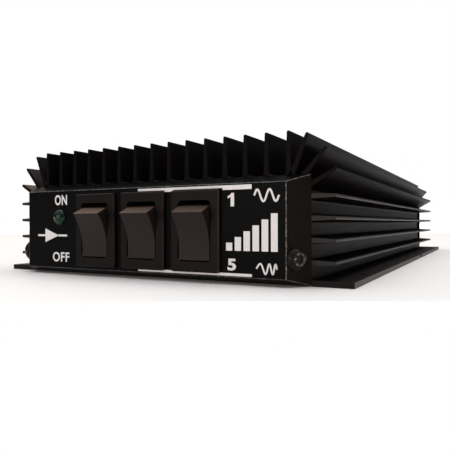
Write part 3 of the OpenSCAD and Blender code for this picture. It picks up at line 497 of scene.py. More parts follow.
# the blade tapers from its root to its tip, flares at the root and is rounded at the tip
loss = step("SUBTRACT", size["Tip thickness"], size["Root thickness"])
width = step("MULTIPLY_ADD", loss, share, size["Root thickness"])
flare = rounding(size["Root fillet"], step("SUBTRACT", size["Root fillet"], height))
tip_start = step("SUBTRACT", size["Reach"], size["Tip round"])
lost = rounding(size["Tip round"], step("SUBTRACT", height, tip_start))
whole = step("MULTIPLY_ADD", step("SUBTRACT", flare, lost), 2.0, width)
moved = add_node(fin_tree, "ShaderNodeCombineXYZ", {
    "X": step("MULTIPLY", corner["X"], whole), "Y": corner["Y"], "Z": height})
shape = add_node(fin_tree, "GeometryNodeSetPosition", {
    "Geometry": block.outputs["Mesh"], "Position": moved.outputs[0]})
plant = add_node(fin_tree, "GeometryNodeInstanceOnPoints", {
    "Points": size["Geometry"], "Instance": shape.outputs["Geometry"],
    "Rotation": attribute(fin_tree, "lean", "FLOAT_VECTOR"),
    "Scale": attribute(fin_tree, "stretch", "FLOAT_VECTOR")})
fill(fin_tree, result, {0: made_real(fin_tree, plant.outputs[0], size["Finish"])})
print("fin tree has", len(fin_tree.nodes), "nodes")

# %% [markdown]
# ### Where the fins stand
# The root points are the rule in numbers: upright fins every 6 mm on the deck, three that
# splay over each shoulder, and four level ones on each wall. Every point carries its lean as
# a rotation and its reach as a stretch of the blade.

# %% Root points
fin_pitch, fins_each_side, fin_reach = 6, 7, 11.1
level_first, level_pitch, level_reach, level_count = 4.3, 5.45, 7.1, 4
# splayed fins: place round the corner and lean in degrees, first and step, then their reaches
splay_first, splay_step, lean_first, lean_step = 9, 29.5, 22, 19.5
splay_reaches = (11.1, 10.1, 8.5)
# they stand this much below the corner's curve, so that no gap opens beside their flat roots
root_sink = 0.2
fins_at = [((i * fin_pitch, 0, deck_top), 0, fin_reach)
           for i in range(-fins_each_side, fins_each_side + 1)]
for side in (-1, 1):
    for i, reach in enumerate(splay_reaches):
        spot = math.radians(splay_first + splay_step * i)
        sunk = corner_r - root_sink
        root = (side * (half_w - corner_r + sunk * math.sin(spot)), 0,
                deck_top - corner_r + sunk * math.cos(spot))
        fins_at.append((root, side * (lean_first + lean_step * i), reach + root_sink))
    for i in range(level_count):
        root = (side * half_w, 0, base_t + level_first + level_pitch * i)
        fins_at.append((root, side * 90, level_reach))
root_mesh = bpy.data.meshes.new("fin_roots")
root_mesh.from_pydata([root for root, lean, reach in fins_at], [], [])
for label, values in (
    ("lean", [(0, math.radians(lean), 0) for root, lean, reach in fins_at]),
    ("stretch", [(1, 1, reach / fin_reach) for root, lean, reach in fins_at]),
):
    layer = root_mesh.attributes.new(label, "FLOAT_VECTOR", "POINT")
    layer.data.foreach_set("vector", [c for v in values for c in v])
print("fins to plant:", len(fins_at))

# %% [markdown]
# ### Joining fins and shell
# The tree's blades and the drawn shell become one mesh. The level fins' ends are painted lighter than the
# drawn faces, as painted light where light from the right falls on them, and their tips get a painted
# highlight, so each face is given one of three finishes by where it lies and which way it looks.

# %% Finished housing
blades = grow(fin_tree, root_mesh, Length=rear_y - front_y, Reach=fin_reach, Root_thickness=1.5,
              Tip_thickness=0.8, Root_fillet=0.7, Tip_round=0.3, Rows=26, Finish=anodised)
fins = bmesh.new()
fins.from_mesh(blades)
bmesh.ops.remove_doubles(fins, verts=fins.verts, dist=0.0005)
bmesh.ops.recalc_face_normals(fins, faces=fins.faces)
soften(fins, width=0.12, segments=1, sharper_than=60)
soften(shell, width=0.15, sharper_than=60)
joined = bpy.data.meshes.new("joined")
fins.to_mesh(joined)
fins.free()
shell.from_mesh(joined)
plain, lit_end, painted_glint = 0, 1, 2
# the level fins' ends get painted light and their tips a painted highlight
for face in shell.faces:
    centre = face.calc_center_median()
    past_wall = abs(centre.x) - half_w if centre.z < deck_top - corner_r else 0
    if past_wall > 1 and abs(face.normal.y) > 0.9:
        face.material_index = lit_end
    elif past_wall > level_reach - 0.2:
        face.material_index = painted_glint
    else:
        face.material_index = plain
housing = keep("finned_housing", shell, [anodised, lit_fin_ends, tip_highlight])
dress(housing, "housing", "black_anodised", "heatsink")

# %% [markdown]
# ## Base plate
# A sheared sheet of steel, painted black. Its edges are only slightly rounded. Its two side edges are a
# lighter reddish brown: partly the bare sheared steel, partly a painted warm highlight. A small bevel along
# the real edges catches the light as the sheet does.

# %% Base plate
# partly bare steel, partly a painted warm highlight on the plate's side edges
plate_edge_and_highlight = finish("sheared_edge", (0.045, 0.028, 0.024), (0.02, 0.015, 0.014), 0.5,
                    grain=0.3, bump=0.02, cloud=3, Specular_IOR_Level=0.4)
plate = cad_copy("base_plate")
# both side edges get the lighter reddish brown: bare steel and a painted warm highlight
for face in plate.faces:
    if abs(face.normal.x) > 0.9:
        face.material_index = 1
soften(plate, width=0.2, sharper_than=50)
plate = keep("flanged_base_plate", plate, [plate_paint, plate_edge_and_highlight])
dress(plate, "housing", "black_plate", "base_plate")

# %% [markdown]
# ## Panels
# Each panel is a shallow pan pressed from one sheet. The outer bends are where paint wears
# first, so they get a wider bevel with a finish of its own, in which small specks of bare
# metal come through: the cloud of a finish, cut off sharply. The other edges are only broken.

# %% Worn paint, and both panels
bend_paint = finish("worn_bend", (0.012, 0.011, 0.011), (0.13, 0.12, 0.115), 0.45,
                    grain=0.3, bump=0.02, cloud=0.45, Specular_IOR_Level=0.4)
tree = bend_paint.node_tree
tint = next(node for node in tree.nodes if node.type == "MIX")
specks = tint.inputs["Factor"].links[0].from_node
specks.inputs["Detail"].default_value = 6
bare_from, bare_full = 0.48, 0.58
gate = add_node(tree, "ShaderNodeMapRange", {
    "Value": specks.outputs["Fac"], "From Min": bare_from, "From Max": bare_full})
fill(tree, tint, {"Factor": gate.outputs[0]})


def is_bend(edge):
    """An outer bend of a panel: both ends are outer corners, and not both on its open rim."""
    def at(corner, x, y):
        return abs(abs(corner.x) - x) < 0.1 and abs(abs(corner.y) - abs(y)) < 0.1

    ends = [v.co for v in edge.verts]
    outer = all(at(c, face_half, face_y) or at(c, panel_half, front_y) for c in ends)
    return outer and not all(abs(abs(c.y) - abs(front_y)) < 0.1 for c in ends)


for node, name in (("front_panel", "pressed_front_panel"), ("rear_panel", "pressed_rear_panel")):
    pan = cad_copy(node)
    bends = soften(pan, width=0.16, sharper_than=10, only=is_bend, material=1)
    soften(pan, width=0.06, segments=1, sharper_than=50)
    pan = keep(name, pan, [panel_paint, bend_paint])
    dress(pan, "housing", "panel_black", node)
    print("bends rounded:", bends)

# %% [markdown]
# ## Switches
# A moulded switch has round corners in its opening and soft edges all round. The rocker's long
# hollow face comes right from the frame. Its top facet shines warmly in the photograph, so
# one lamp is linked to the rockers alone and lights nothing else.

# %% Switch bodies and rockers
opening_half = 4.95
rockers_lit = bpy.data.collections.new("rockers_lit")
lamps["lamp_rockers"].light_linking.receiver_collection = rockers_lit
for i in (1, 2, 3):
    body = cad_copy(f"switch_body_{i}")
    low, high = mm_box(f"switch_body_{i}")
    middle = (low.x + high.x) / 2

    def in_opening(edge):
        """One of the four corner edges that run into the opening."""
        a, b = (v.co for v in edge.verts)
        along = abs(a.x - b.x) < 0.01 and abs(a.z - b.z) < 0.01 and abs(a.y - b.y) > 2
        return along and abs(abs(a.x - middle) - opening_half) < 0.02 and a.y < face_y

    rounded = soften(body, width=0.8, segments=4, only=in_opening)
    soften(body, width=0.09, sharper_than=25)
    body = keep(f"switch_housing_{i}", body, [bezel_plastic])
    dress(body, "housing", "switch_black", f"switch_body_{i}")
    key = soft_piece(f"rocker_key_{i}", f"rocker_{i}", f"rocker_{i}", "rocker_brown",
                     [rocker_plastic], width=0.16, segments=3, sharper_than=25)
    rockers_lit.objects.link(key)
    print("opening corners rounded:", rounded)

# %% [markdown]
# ## Turned shapes
# Screw heads, sockets and the light's lens are all rings around an axis. One helper joins rings
# in order. A ring is a radius and a height, or a function of the angle, which is how a recess
# gets its lobes and a nut its flats. A radius of zero closes the shape in a pole.

# %% Rings around an axis
def turned(rings, count=48, closed=False):
    """Joins rings in order. Closed joins the last to the first, as for a washer."""
    form = bmesh.new()
    rows = []
    for ring in rings:
        if not callable(ring) and ring[0] == 0:
            rows.append([form.verts.new((0, 0, ring[1]))] * count)
            continue
        row = []
        for i in range(count):
            angle = math.tau * i / count
            radius, height = ring(angle) if callable(ring) else ring
            row.append(form.verts.new((radius * math.cos(angle), radius * math.sin(angle), height)))
        rows.append(row)
    if closed:
        rows.append(rows[0])
    for a, b in zip(rows, rows[1:]):
        for i in range(count):
            j = (i + 1) % count
            corners = list(dict.fromkeys((a[i], a[j], b[j], b[i])))
            if len(corners) > 2:
                form.faces.new(corners)
    bmesh.ops.recalc_face_normals(form, faces=form.faces)
    return form


trial = turned([(0, 0), (1, 0), (1, 1), (0, 1)], 8)
print("a turned cylinder of 8 sides has", len(trial.faces), "faces")
trial.free()

# %% [markdown]
# ### Turned pieces in their places
# A turned shape is made on the Z axis and then aimed: Z goes to a direction and the origin to
# a place. Several can go into one mesh, and a piece may stand at more than one spot.

# %% Turned shapes put in place
def aimed(place, along):
    """A matrix that takes the Z axis to a direction and the origin to a place."""
    return Matrix.Translation(place) @ Vector(along).to_track_quat("Z", "Y").to_matrix().to_4x4()


def add_turned(form, rings, at, along, count=24, closed=False):
    """Turns a shape and adds it to a larger one."""
    part = turned(rings, count, closed)
    part.transform(aimed(at, along))
    mesh = bpy.data.meshes.new("part")
    part.to_mesh(mesh)
    part.free()
    form.from_mesh(mesh)
    bpy.data.meshes.remove(mesh)


def turned_piece(name, node, body, slot, finish_used, rings, spots, along, count=24, closed=False):
    """One piece made of the same turned shape at each spot."""
    form = bmesh.new()
    for spot in spots:
        add_turned(form, rings, spot, along, count, closed)
    return dress(keep(name, form, [finish_used]), body, slot, node)


# %% [markdown]
# ## Screws
# The panels hang on round-headed screws with a six-lobe recess, and the base plate on flat ones
# with a cross. Lobes and cross are rings whose radius swings with the angle, and so is the
# thread: its rings grow and shrink as the ridge passes, which needs no spiral.

# %% Recesses and thread
def six_lobes(size, depth):
    """A ring with six rounded lobes."""
    return lambda angle: (size * (0.86 + 0.14 * math.cos(6 * angle)), depth)


def cross(size, depth):
    """A ring in the shape of a cross with four pointed arms."""
    return lambda angle: (size * (0.34 + 0.66 * abs(math.cos(2 * angle)) ** 3), depth)


def thread_rings(radius, start, length, pitch=0.5):
    """Rings down a shank whose radius rises and falls as the thread passes."""
    ridge, lead, run_out = 0.09, 0.25, 0.6
    count = max(4, round(length / pitch * 4))
    rings = []
    for k in range(count + 1):
        height = start - lead - (length - run_out) * k / count
        rings.append(lambda angle, h=height: (
            radius - ridge + ridge * math.cos(math.tau * (h / pitch) - angle), h))
    return [(radius, start)] + rings + [(radius * 0.7, start - length), (0, start - length)]


print("rings in 4 mm of thread:", len(thread_rings(1.45, 0, 4)))

# %% [markdown]
# ### One screw of each kind
# The round head is a low dome. Between the recess and the rim its rings change little by
# little from six lobes to a circle. The flat screw is a cone that sinks into the plate, with
# its face at height zero.

# %% Round-headed and flat screw
def pan_screw(head_r, head_h, length, shank_r=1.45):
    """Round head above height zero, shank below."""
    dome = 1.25 * head_r
    lobe = head_r * 0.5

    def skin(radius):
        return head_h - dome + math.sqrt(dome * dome - radius * radius)

    def spread(share):
        def ring(angle):
            inner = lobe * 1.12 * (0.86 + 0.14 * math.cos(6 * angle))
            radius = inner + (head_r * 0.93 - inner) * share
            return radius, skin(radius)
        return ring

    rings = [(0, head_h * 0.4), six_lobes(lobe * 0.9, head_h * 0.4), six_lobes(lobe, head_h * 0.46),
             six_lobes(lobe * 1.03, skin(lobe) - 0.12), spread(0), spread(0.3), spread(0.65), spread(1),
             (head_r * 0.985, skin(head_r * 0.97) - 0.12), (head_r, skin(head_r) - 0.3),
             (head_r, 0.12), (head_r - 0.1, 0)]
    return turned(rings + thread_rings(shank_r, 0, length), 36)


def flat_screw(head_r, head_h, length, shank_r=1.45):
    """Countersunk screw, head downwards from its face at height zero."""
    rings = [(0, 0.95), cross(0.45, 0.9), cross(1.25, 0.12), cross(1.4, 0.02), (1.75, 0),
             (head_r - 0.08, 0), (head_r, 0.07), (shank_r, head_h)]
    shank = [lambda a, r=r: (lambda v: (v[0], -v[1]))(r(a) if callable(r) else r)
             for r in thread_rings(shank_r, -head_h - 0.1, length - head_h - 0.1)[:-1]]
    return turned(rings + shank + [(0, length)], 36)


# %% [markdown]
# ### Setting screws
# A tree sets a copy of one screw on every point. Each is turned by its own chance angle,
# because nobody lines screws up, and the chance has a seed, so it falls the same way each
# time. Faces that are marked as worn get a second finish.

# %% Tree that sets copies
screw_tree, size, result = new_tree("set_screws", {
    "Screw": "Object", "Turn seed": "Int", "Finish": "Material", "Worn": "Material",
})
source = add_node(screw_tree, "GeometryNodeObjectInfo", {"Object": size["Screw"]})
chance = add_node(screw_tree, "FunctionNodeRandomValue", {
    "Max": math.tau, "Seed": size["Turn seed"]}, data_type="FLOAT")
plant = add_node(screw_tree, "GeometryNodeInstanceOnPoints", {
    "Points": size["Geometry"], "Instance": source.outputs["Geometry"],
    "Rotation": attribute(screw_tree, "aim", "FLOAT_VECTOR")})
spin = add_node(screw_tree, "ShaderNodeCombineXYZ", {"Z": chance.outputs["Value"]})
spun = add_node(screw_tree, "GeometryNodeRotateInstances", {
    "Instances": plant.outputs[0], "Rotation": spin.outputs[0]})
rub = add_node(screw_tree, "GeometryNodeSetMaterial", {
    "Geometry": made_real(screw_tree, spun.outputs[0], size["Finish"]),
    "Selection": attribute(screw_tree, "worn", "BOOLEAN"), "Material": size["Worn"]})
fill(screw_tree, result, {0: rub.outputs[0]})
print("screw tree has", len(screw_tree.nodes), "nodes")

# %% [markdown]
# ### Marking the worn recess
# Which faces the driver has worn is worked out on the one screw, before it is copied, and carried as a mark
# on each face. The tree reads that mark, and reads each point's aim.

# %% Worn steel, and screws on their spots
worn_steel = finish("worn_recess", (0.22, 0.21, 0.2), (0.02, 0.018, 0.017), 0.36,
                    grain=0.12, bump=0.02, cloud=0.35, Metallic=0.4)
recess_r = 1.7


def set_screws(name, node, screw, spots, slot, finish_used, worn_span, seed):
    """Copies a screw onto spots, each a place and a direction its head faces. The driver has worn the
    recess between the two heights of worn_span."""
    mesh = bpy.data.meshes.new("one_screw")
    screw.to_mesh(mesh)
    screw.free()
    in_recess = [all(math.hypot(*mesh.vertices[v].co[:2]) < recess_r for v in face.vertices)
                 and worn_span[0] < face.center.z < worn_span[1] for face in mesh.polygons]
    mesh.attributes.new("worn", "BOOLEAN", "FACE").data.foreach_set("value", in_recess)
    source = bpy.data.objects.new("one_screw", mesh)
    points = bpy.data.meshes.new("spots")
    points.from_pydata([place for place, along in spots], [], [])
    angles = [Vector(along).to_track_quat("Z", "Y").to_euler() for place, along in spots]
    layer = points.attributes.new("aim", "FLOAT_VECTOR", "POINT")
    layer.data.foreach_set("vector", [c for a in angles for c in a])
    mesh = grow(screw_tree, points, Screw=source, Turn_seed=seed, Finish=finish_used, Worn=worn_steel)
    bpy.data.objects.remove(source)
    return dress(keep_mesh(name, mesh, []), "housing", slot, node)


# %% [markdown]
# ### The screws outside
# Each panel has one screw in each slanted wing, so its direction comes from the wing's slant.
# Its seat lies a little behind the wing's middle, under the sheet. Six flat screws hold the
# base plate to the middle of the walls.

# %% Wing screws and base screws
wing_middle = Vector((panel_half - wing_run / 2, front_y - panel_depth / 2, base_t + 5.3))
wing_angle = math.atan2(wing_run, panel_depth)
outward = Vector((math.cos(wing_angle), -math.sin(wing_angle), 0))
inset = 0.8
seat = wing_middle + inset * Vector((-math.sin(wing_angle), -math.cos(wing_angle), 0))
for name, node, end, seed in (("front_wing_screws", "front_panel_screws", 1, 3),
                              ("rear_wing_screws", "rear_panel_screws", -1, 5)):
    spots = [((side * seat.x, end * seat.y, seat.z), (side * outward.x, end * outward.y, 0))
             for side in (1, -1)]
    set_screws(name, node, pan_screw(head_r=2.85, head_h=2, length=4.2), spots,
               "dark_screw", dark_screw, worn_span=(0.9, 2.2), seed=seed)
wall_middle = half_w - wall_t / 2
spots = [((side * wall_middle, y, 0), (0, 0, 1)) for side in (1, -1) for y in (-85, 0, 85)]
set_screws("plate_screws", "base_screws", flat_screw(head_r=2.5, head_h=1.05, length=7.5), spots,
           "dark_screw", dark_screw, worn_span=(-0.01, 2.2), seed=8)

# %% [markdown]
# ## Printed marks
# The print is a thin film of white ink. A flat shape of any size is stretched to its place on
# the panel's face and gets the ink's thickness, with walls only along its outline.

# %% White ink
ink = finish("white_ink", (0.70, 0.69, 0.69), (0.60, 0.59, 0.59), 0.55, grain=0.2, bump=0.006,
             cloud=1.2, Specular_IOR_Level=0.2)
ink_t = 0.03
marks = bmesh.new()


def print_shape(points, faces, low, high):
    """Prints a flat shape between two corners of the panel's face."""
    xs, zs = zip(*points)
    fit_x = (high[0] - low[0]) / (max(xs) - min(xs))
    fit_z = (high[1] - low[1]) / (max(zs) - min(zs))
    flat = [(low[0] + (x - min(xs)) * fit_x, low[1] + (z - min(zs)) * fit_z) for x, z in points]
    back = [marks.verts.new((x, face_y, z)) for x, z in flat]
    front = [marks.verts.new((x, face_y - ink_t, z)) for x, z in flat]
    edges = {}
    for face in faces:
        marks.faces.new([front[i] for i in face])
        marks.faces.new([back[i] for i in reversed(face)])
        edges.update(dict.fromkeys(zip(face, list(face[1:]) + [face[0]])))
    for a, b in edges:
        if (b, a) not in edges:
            marks.faces.new((front[b], front[a], back[a], back[b]))


def print_bar(low, high):
    print_shape([(0, 0), (1, 0), (1, 1), (0, 1)], [(0, 1, 2, 3)], low, high)


print("the ink is", ink_t, "mm thick")

# %% [markdown]
# ### Words and numbers
# ON, OFF and the power steps 1 and 5 are plain words and numbers. A word starts as a text curve
# in Blender's own font, with its strokes a little fattened. It is turned into a mesh, and only
# its flat points and faces go to the printer. Every mark is given by two corners.

# %% Words and numbers
def print_word(word, low, high, boldness):
    """Prints a word between two corners of the panel's face."""
    curve = bpy.data.curves.new("word", "FONT")
    curve.body = word
    curve.offset = boldness
    curve.space_character = 1.0 + 4 * boldness
    curve.resolution_u = 4
    holder = bpy.data.objects.new("word", curve)
    bpy.context.scene.collection.objects.link(holder)
    evaluated = holder.evaluated_get(bpy.context.evaluated_depsgraph_get())
    mesh = bpy.data.meshes.new_from_object(evaluated)
    bpy.data.objects.remove(holder)
    shape = bmesh.new()
    shape.from_mesh(mesh)
    bmesh.ops.remove_doubles(shape, verts=shape.verts, dist=0.0001)
    bmesh.ops.recalc_face_normals(shape, faces=shape.faces)
    shape.verts.ensure_lookup_table()
    points = [(v.co.x, v.co.y) for v in shape.verts]
    loops = [([v.index for v in face.verts], face.normal.z > 0) for face in shape.faces]
    shape.free()
    print_shape(points, [loop if up else loop[::-1] for loop, up in loops], low, high)


print_word("ON", (-32.25, 21.1), (-27.2, 24.25), 0.022)
print_word("OFF", (-33.2, 3.8), (-26.3, 6.75), 0.02)
# the font's 1 is a bare stroke, so this one is drawn with its flag
one = [(0.45, 0), (1, 0), (1, 1), (0.6, 1), (0.38, 0.86), (0, 0.76), (0, 0.6), (0.45, 0.7)]
print_shape(one, [tuple(range(len(one)))], (28.1, 19.7), (29.9, 23.1))
print_word("5", (28.0, 3.6), (30.4, 6.6), 0.035)
print("ink faces so far:", len(marks.faces))

# %% [markdown]
# ### Stripes
# Two white stripes run over and under the right-hand switches. The upper one is broad only
# where no bezel is in the way, so it is printed as four bars side by side.

# %% Stripes
stripe_top = 25.05
for left, right, low in ((-0.2, 8.8, 24.4), (8.8, 11.6, 23.95), (11.6, 26.6, 24.4), (26.6, 34.75, 23.9)):
    print_bar((left, low), (right, stripe_top))
print_bar((-0.2, 2.25), (34.75, 2.95))
print("ink faces so far:", len(marks.faces))

# %% [markdown]
# ### Signs
# The other marks are signs any radio could carry: two waves for the modes, the drawing sign of
# an amplifier, and rising bars. A wave is a ribbon of constant width along a path, so that its
# stroke stays even where the path turns.

# %% Signs
def ribbon(path, width):
    """A stripe of constant width along a path, as points and faces."""
    points, count = [], len(path)
    for i, (x, z) in enumerate(path):
        ax, az = path[max(i - 1, 0)]
        bx, bz = path[min(i + 1, count - 1)]
        run = Vector((bx - ax, bz - az)).normalized()
        points += [(x + run.y * width / 2, z - run.x * width / 2),
                   (x - run.y * width / 2, z + run.x * width / 2)]
    faces = [(2 * i, 2 * i + 2, 2 * i + 3, 2 * i + 1) for i in range(count - 1)]
    return points, faces


shares = [i / 80 for i in range(81)]
steady = [(t, math.sin(t * math.tau * 2)) for t in shares]
crowding = [(t, math.sin(math.tau * (1.0 * t + 1.5 * t * t))) for t in shares]
for wave, low, high in ((steady, (35.2, 20.55), (42.2, 23.96)), (crowding, (35.8, 2.9), (41.6, 5.8))):
    tall = (high[0] - low[0]) / (high[1] - low[1])
    points, faces = ribbon([(x * tall, 0.5 * z) for x, z in wave], 0.16)
    print_shape(points, faces, low, high)
# the drawing sign of an amplifier: line, triangle, line
print_bar((-39.6, 11.55), (-36.4, 12.15))
print_shape([(0, 0), (0, 1), (1, 0.5)], [(0, 2, 1)], (-36.4, 9.75), (-30.6, 13.95))
print_bar((-30.9, 11.55), (-27.2, 12.15))
bar_w, bar_pitch, bar_rise, first_top = 1.75, 2.45, 1.45, 10.6
for k in range(6):
    x = 27.6 + bar_pitch * k
    print_bar((x, 8.6), (x + bar_w, first_top + bar_rise * k))
printed = keep("printed_marks", marks, [ink])
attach(printed, "housing")
print("printed faces:", len(printed.data.polygons))

# %% [markdown]
# ## The status light
# A clear green dome is turned from rings. Its finish lets light through, so what is inside
# shows. In a light of this kind the tint lies in the plastic and in what its skin reflects.

# %% Lens
light_r, light_top, rim_r = 2.4, 1.5, 2.9
dome_r = 1.2 * light_r
dark_green = (0.004, 0.02, 0.013)
light_green = finish("light_green", dark_green, [c * 0.8 for c in dark_green], 0.06, grain=0.8,
                     bump=0.004, spread=0.03, cloud=2, IOR=1.5, Transmission_Weight=0.85,
                     Specular_Tint=(0.4, 0.75, 0.55, 1))
light_low, light_high = mm_box("light_lens")
light_x = (light_low.x + light_high.x) / 2
light_z = (light_low.z + light_high.z) / 2
light_spot, outwards = (light_x, face_y, light_z), (0, -1, 0)


def dome_height(radius):
    return light_top - dome_r + math.sqrt(dome_r * dome_r - radius * radius)


rings = [(0, light_top)]
rings += [(light_r * k / 10, dome_height(light_r * k / 10)) for k in range(1, 10)]
rings += [(light_r, dome_height(light_r)), (light_r, -1.7), (rim_r, -1.85), (rim_r, -2.75),
          (rim_r - 0.1, -2.8), (0, -2.8)]
turned_piece("light_dome", "light_lens", "housing", "light_green", light_green, rings,
             [light_spot], outwards, count=40)

# %% [markdown]
# ### Inside the light
# Every such light has the same parts inside: a small cup on one lead, a post on the other,
# and here a ring of fine ribs that catch the light. The cup is turned, and post and ribs are
# small bars. The frame has no solid for them, so the piece stands for no node.

# %% Cup, post and ribs
tin = finish("tinned", (0.62, 0.62, 0.6), (0.5, 0.5, 0.48), 0.3, grain=0.3, bump=0.01, cloud=1.5,
             Metallic=0.9)
lead_frame = finish("lead_frame", (0.3, 0.3, 0.29), (0.12, 0.12, 0.11), 0.3, grain=0.2, bump=0.01,
                    cloud=0.6, Metallic=0.9)
heart = turned([(0, -0.2), (0.35, -0.25), (0.75, 0.15), (0.9, 0.2), (0.9, -0.9), (0.3, -1.2),
                (0.3, -2.4), (0, -2.4)], 20)


def add_bar(form, size, at):
    """Adds a plain bar to a larger shape and returns its corners."""
    corners = bmesh.ops.create_cube(form, size=1)["verts"]
    bmesh.ops.scale(form, vec=size, verts=corners)
    bmesh.ops.translate(form, vec=at, verts=corners)
    return corners


ribs = 14
for k in range(ribs):
    rib = add_bar(heart, (0.5, 0.13, 0.5), (1.75, 0, -0.1))
    around = Matrix.Rotation(math.tau * k / ribs, 3, "Z")
    bmesh.ops.rotate(heart, cent=(0, 0, 0), matrix=around, verts=rib)
add_bar(heart, (0.5, 0.7, 2.3), (-1.25, 0, -1.2))
heart.transform(aimed(light_spot, outwards))
heart = keep("light_heart", heart, [lead_frame])
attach(heart, "housing")
print("faces inside the light:", len(heart.data.polygons))

# %% [markdown]
# ## Rear sockets
# The two coaxial sockets are turned: a flange, a threaded barrel with four notches at its
# mouth, a white insulator and a split centre contact. The thread is a rule, so a tree winds a
# spiral and sweeps a small trapezoid along it.

# %% Thread tree
thread_tree, size, result = new_tree("cut_thread", {
    "Radius": "Float", "Depth": "Float", "Pitch": "Float", "Turns": "Float", "Start": "Float",
    "Finish": "Material",
})
step = arithmetic(thread_tree)
# widths of the ridge at its foot and crest, as shares of the pitch. Half its height is sunk
foot_share, crest_share = 0.86, 0.2
root = step("SUBTRACT", size["Radius"], size["Depth"])
spiral = add_node(thread_tree, "GeometryNodeCurveSpiral", {
    "Resolution": 48, "Rotations": size["Turns"], "Start Radius": root, "End Radius": root,
    "Height": step("MULTIPLY", size["Turns"], size["Pitch"])})
upright = add_node(thread_tree, "GeometryNodeSetCurveNormal", {"Curve": spiral.outputs[0]}, mode="Z_UP")
tooth = add_node(thread_tree, "GeometryNodeCurvePrimitiveQuadrilateral", {
    "Bottom Width": step("MULTIPLY", size["Pitch"], foot_share),
    "Top Width": step("MULTIPLY", size["Pitch"], crest_share),
    "Height": step("MULTIPLY", size["Depth"], 2.0), "Offset": 0}, mode="TRAPEZOID")
turned_tooth = add_node(thread_tree, "GeometryNodeTransform", {
    "Geometry": tooth.outputs[0], "Rotation": (0, 0, math.radians(-90))})
sweep = add_node(thread_tree, "GeometryNodeCurveToMesh", {
    "Curve": upright.outputs[0], "Profile Curve": turned_tooth.outputs[0], "Fill Caps": True})
start = add_node(thread_tree, "ShaderNodeCombineXYZ", {"Z": size["Start"]})
lift = add_node(thread_tree, "GeometryNodeTransform", {
    "Geometry": sweep.outputs[0], "Translation": start.outputs[0]})
merge = add_node(thread_tree, "GeometryNodeJoinGeometry", {0: lift.outputs[0]})
thread_tree.links.new(size["Geometry"], merge.inputs[0])
fill(thread_tree, result, {0: made_real(thread_tree, merge.outputs[0], size["Finish"])})
print("thread tree has", len(thread_tree.nodes), "nodes")

# %% [markdown]
# ### Shells
# The shell is one closed outline turned round, with its mouth notched in four places: there
# the rings dip. The tree adds the thread to it.

# %% Threaded shells
nickel = finish("nickel", (0.55, 0.53, 0.49), (0.42, 0.4, 0.37), 0.3, grain=0.25,
                stretch=(1, 8, 1), bump=0.008, cloud=4, Metallic=1.0)
rear_face = rear_y + panel_depth
socket_x, socket_z = 26, 13.5
backwards = (0, 1, 0)
socket_spots = [(side * socket_x, rear_face, socket_z) for side in (-1, 1)]
barrel_r, thread_r, bore_r, barrel_end = 7.54, 7.94, 6.2, 16.4


def notched(radius, height, count, depth, width):
    """A ring that dips by depth in count narrow windows, such as a socket's mouth."""
    def ring(angle):
        phase = (angle * count / math.tau + 0.5) % 1 - 0.5
        return radius, height - (depth if abs(phase) < width * count / math.tau / 2 else 0)
    return ring


mouth = [notched(radius, height, 4, depth, width=0.32) for radius, height, depth in (
    (barrel_r, 16.1, 1.2), (barrel_r - 0.3, barrel_end, 1.4), (bore_r + 0.25, barrel_end, 1.4),
    (bore_r, 16.15, 1.2))]
shell_mesh = turned([(9.3, -1), (barrel_r, -1), (barrel_r, 14.9)] + mouth + [
    (bore_r, 14.9), (bore_r, -3), (9.15, -3), (9.3, -2.85)], 96, closed=True)
barrel = bpy.data.meshes.new("barrel")
shell_mesh.to_mesh(barrel)
shell_mesh.free()
threaded = grow(thread_tree, barrel, Radius=thread_r, Depth=0.4, Pitch=1.058, Turns=9.7, Start=4.4,
                Finish=nickel)
for name, spot in zip(("input_socket", "output_socket"), socket_spots):
    copy = threaded.copy()
    copy.transform(aimed(spot, backwards))
    dress(keep_mesh(name, copy, []), "housing", "nickel", name + "_shell")

# %% [markdown]
# ### Inside and around the shells
# Each socket has a white insulator and a brass centre contact, split four ways so that it
# springs. Outside, a hexagon nut whose corners dip as its cut face does, and a lock washer
# with twenty twisted teeth. Flats and teeth are rings that change with the angle.

# %% Insulators, contacts, nuts and washers
brass = finish("brass", (0.72, 0.52, 0.22), (0.55, 0.38, 0.16), 0.32, grain=0.2, bump=0.008,
               cloud=2, Metallic=1.0)
white_plastic = finish("socket_white", (0.74, 0.72, 0.67), (0.66, 0.63, 0.57), 0.5, grain=0.3,
                       bump=0.006, cloud=3)
zinc = finish("zinc_steel", (0.56, 0.55, 0.5), (0.42, 0.43, 0.4), 0.36, grain=0.3, bump=0.01,
              cloud=2.5, Metallic=0.95)


def hexagon(across, height, cut_back):
    """A ring with six flats, whose corners dip as the cone on a nut's face does."""
    def ring(angle):
        flat = across / 2 / math.cos((angle + math.pi / 6) % (math.pi / 3) - math.pi / 6)
        return flat, height - cut_back * max(0.0, flat - across / 2 - 0.1)
    return ring


def toothed(radius, height, teeth=20, valley=8.9, tooth_share=0.6, twist=0.2):
    """A ring of twisted teeth round a lock washer."""
    def ring(angle):
        share = angle * teeth / math.tau % 1
        return (radius, height + twist * (share - 0.3)) if share < tooth_share else (valley, height)
    return ring


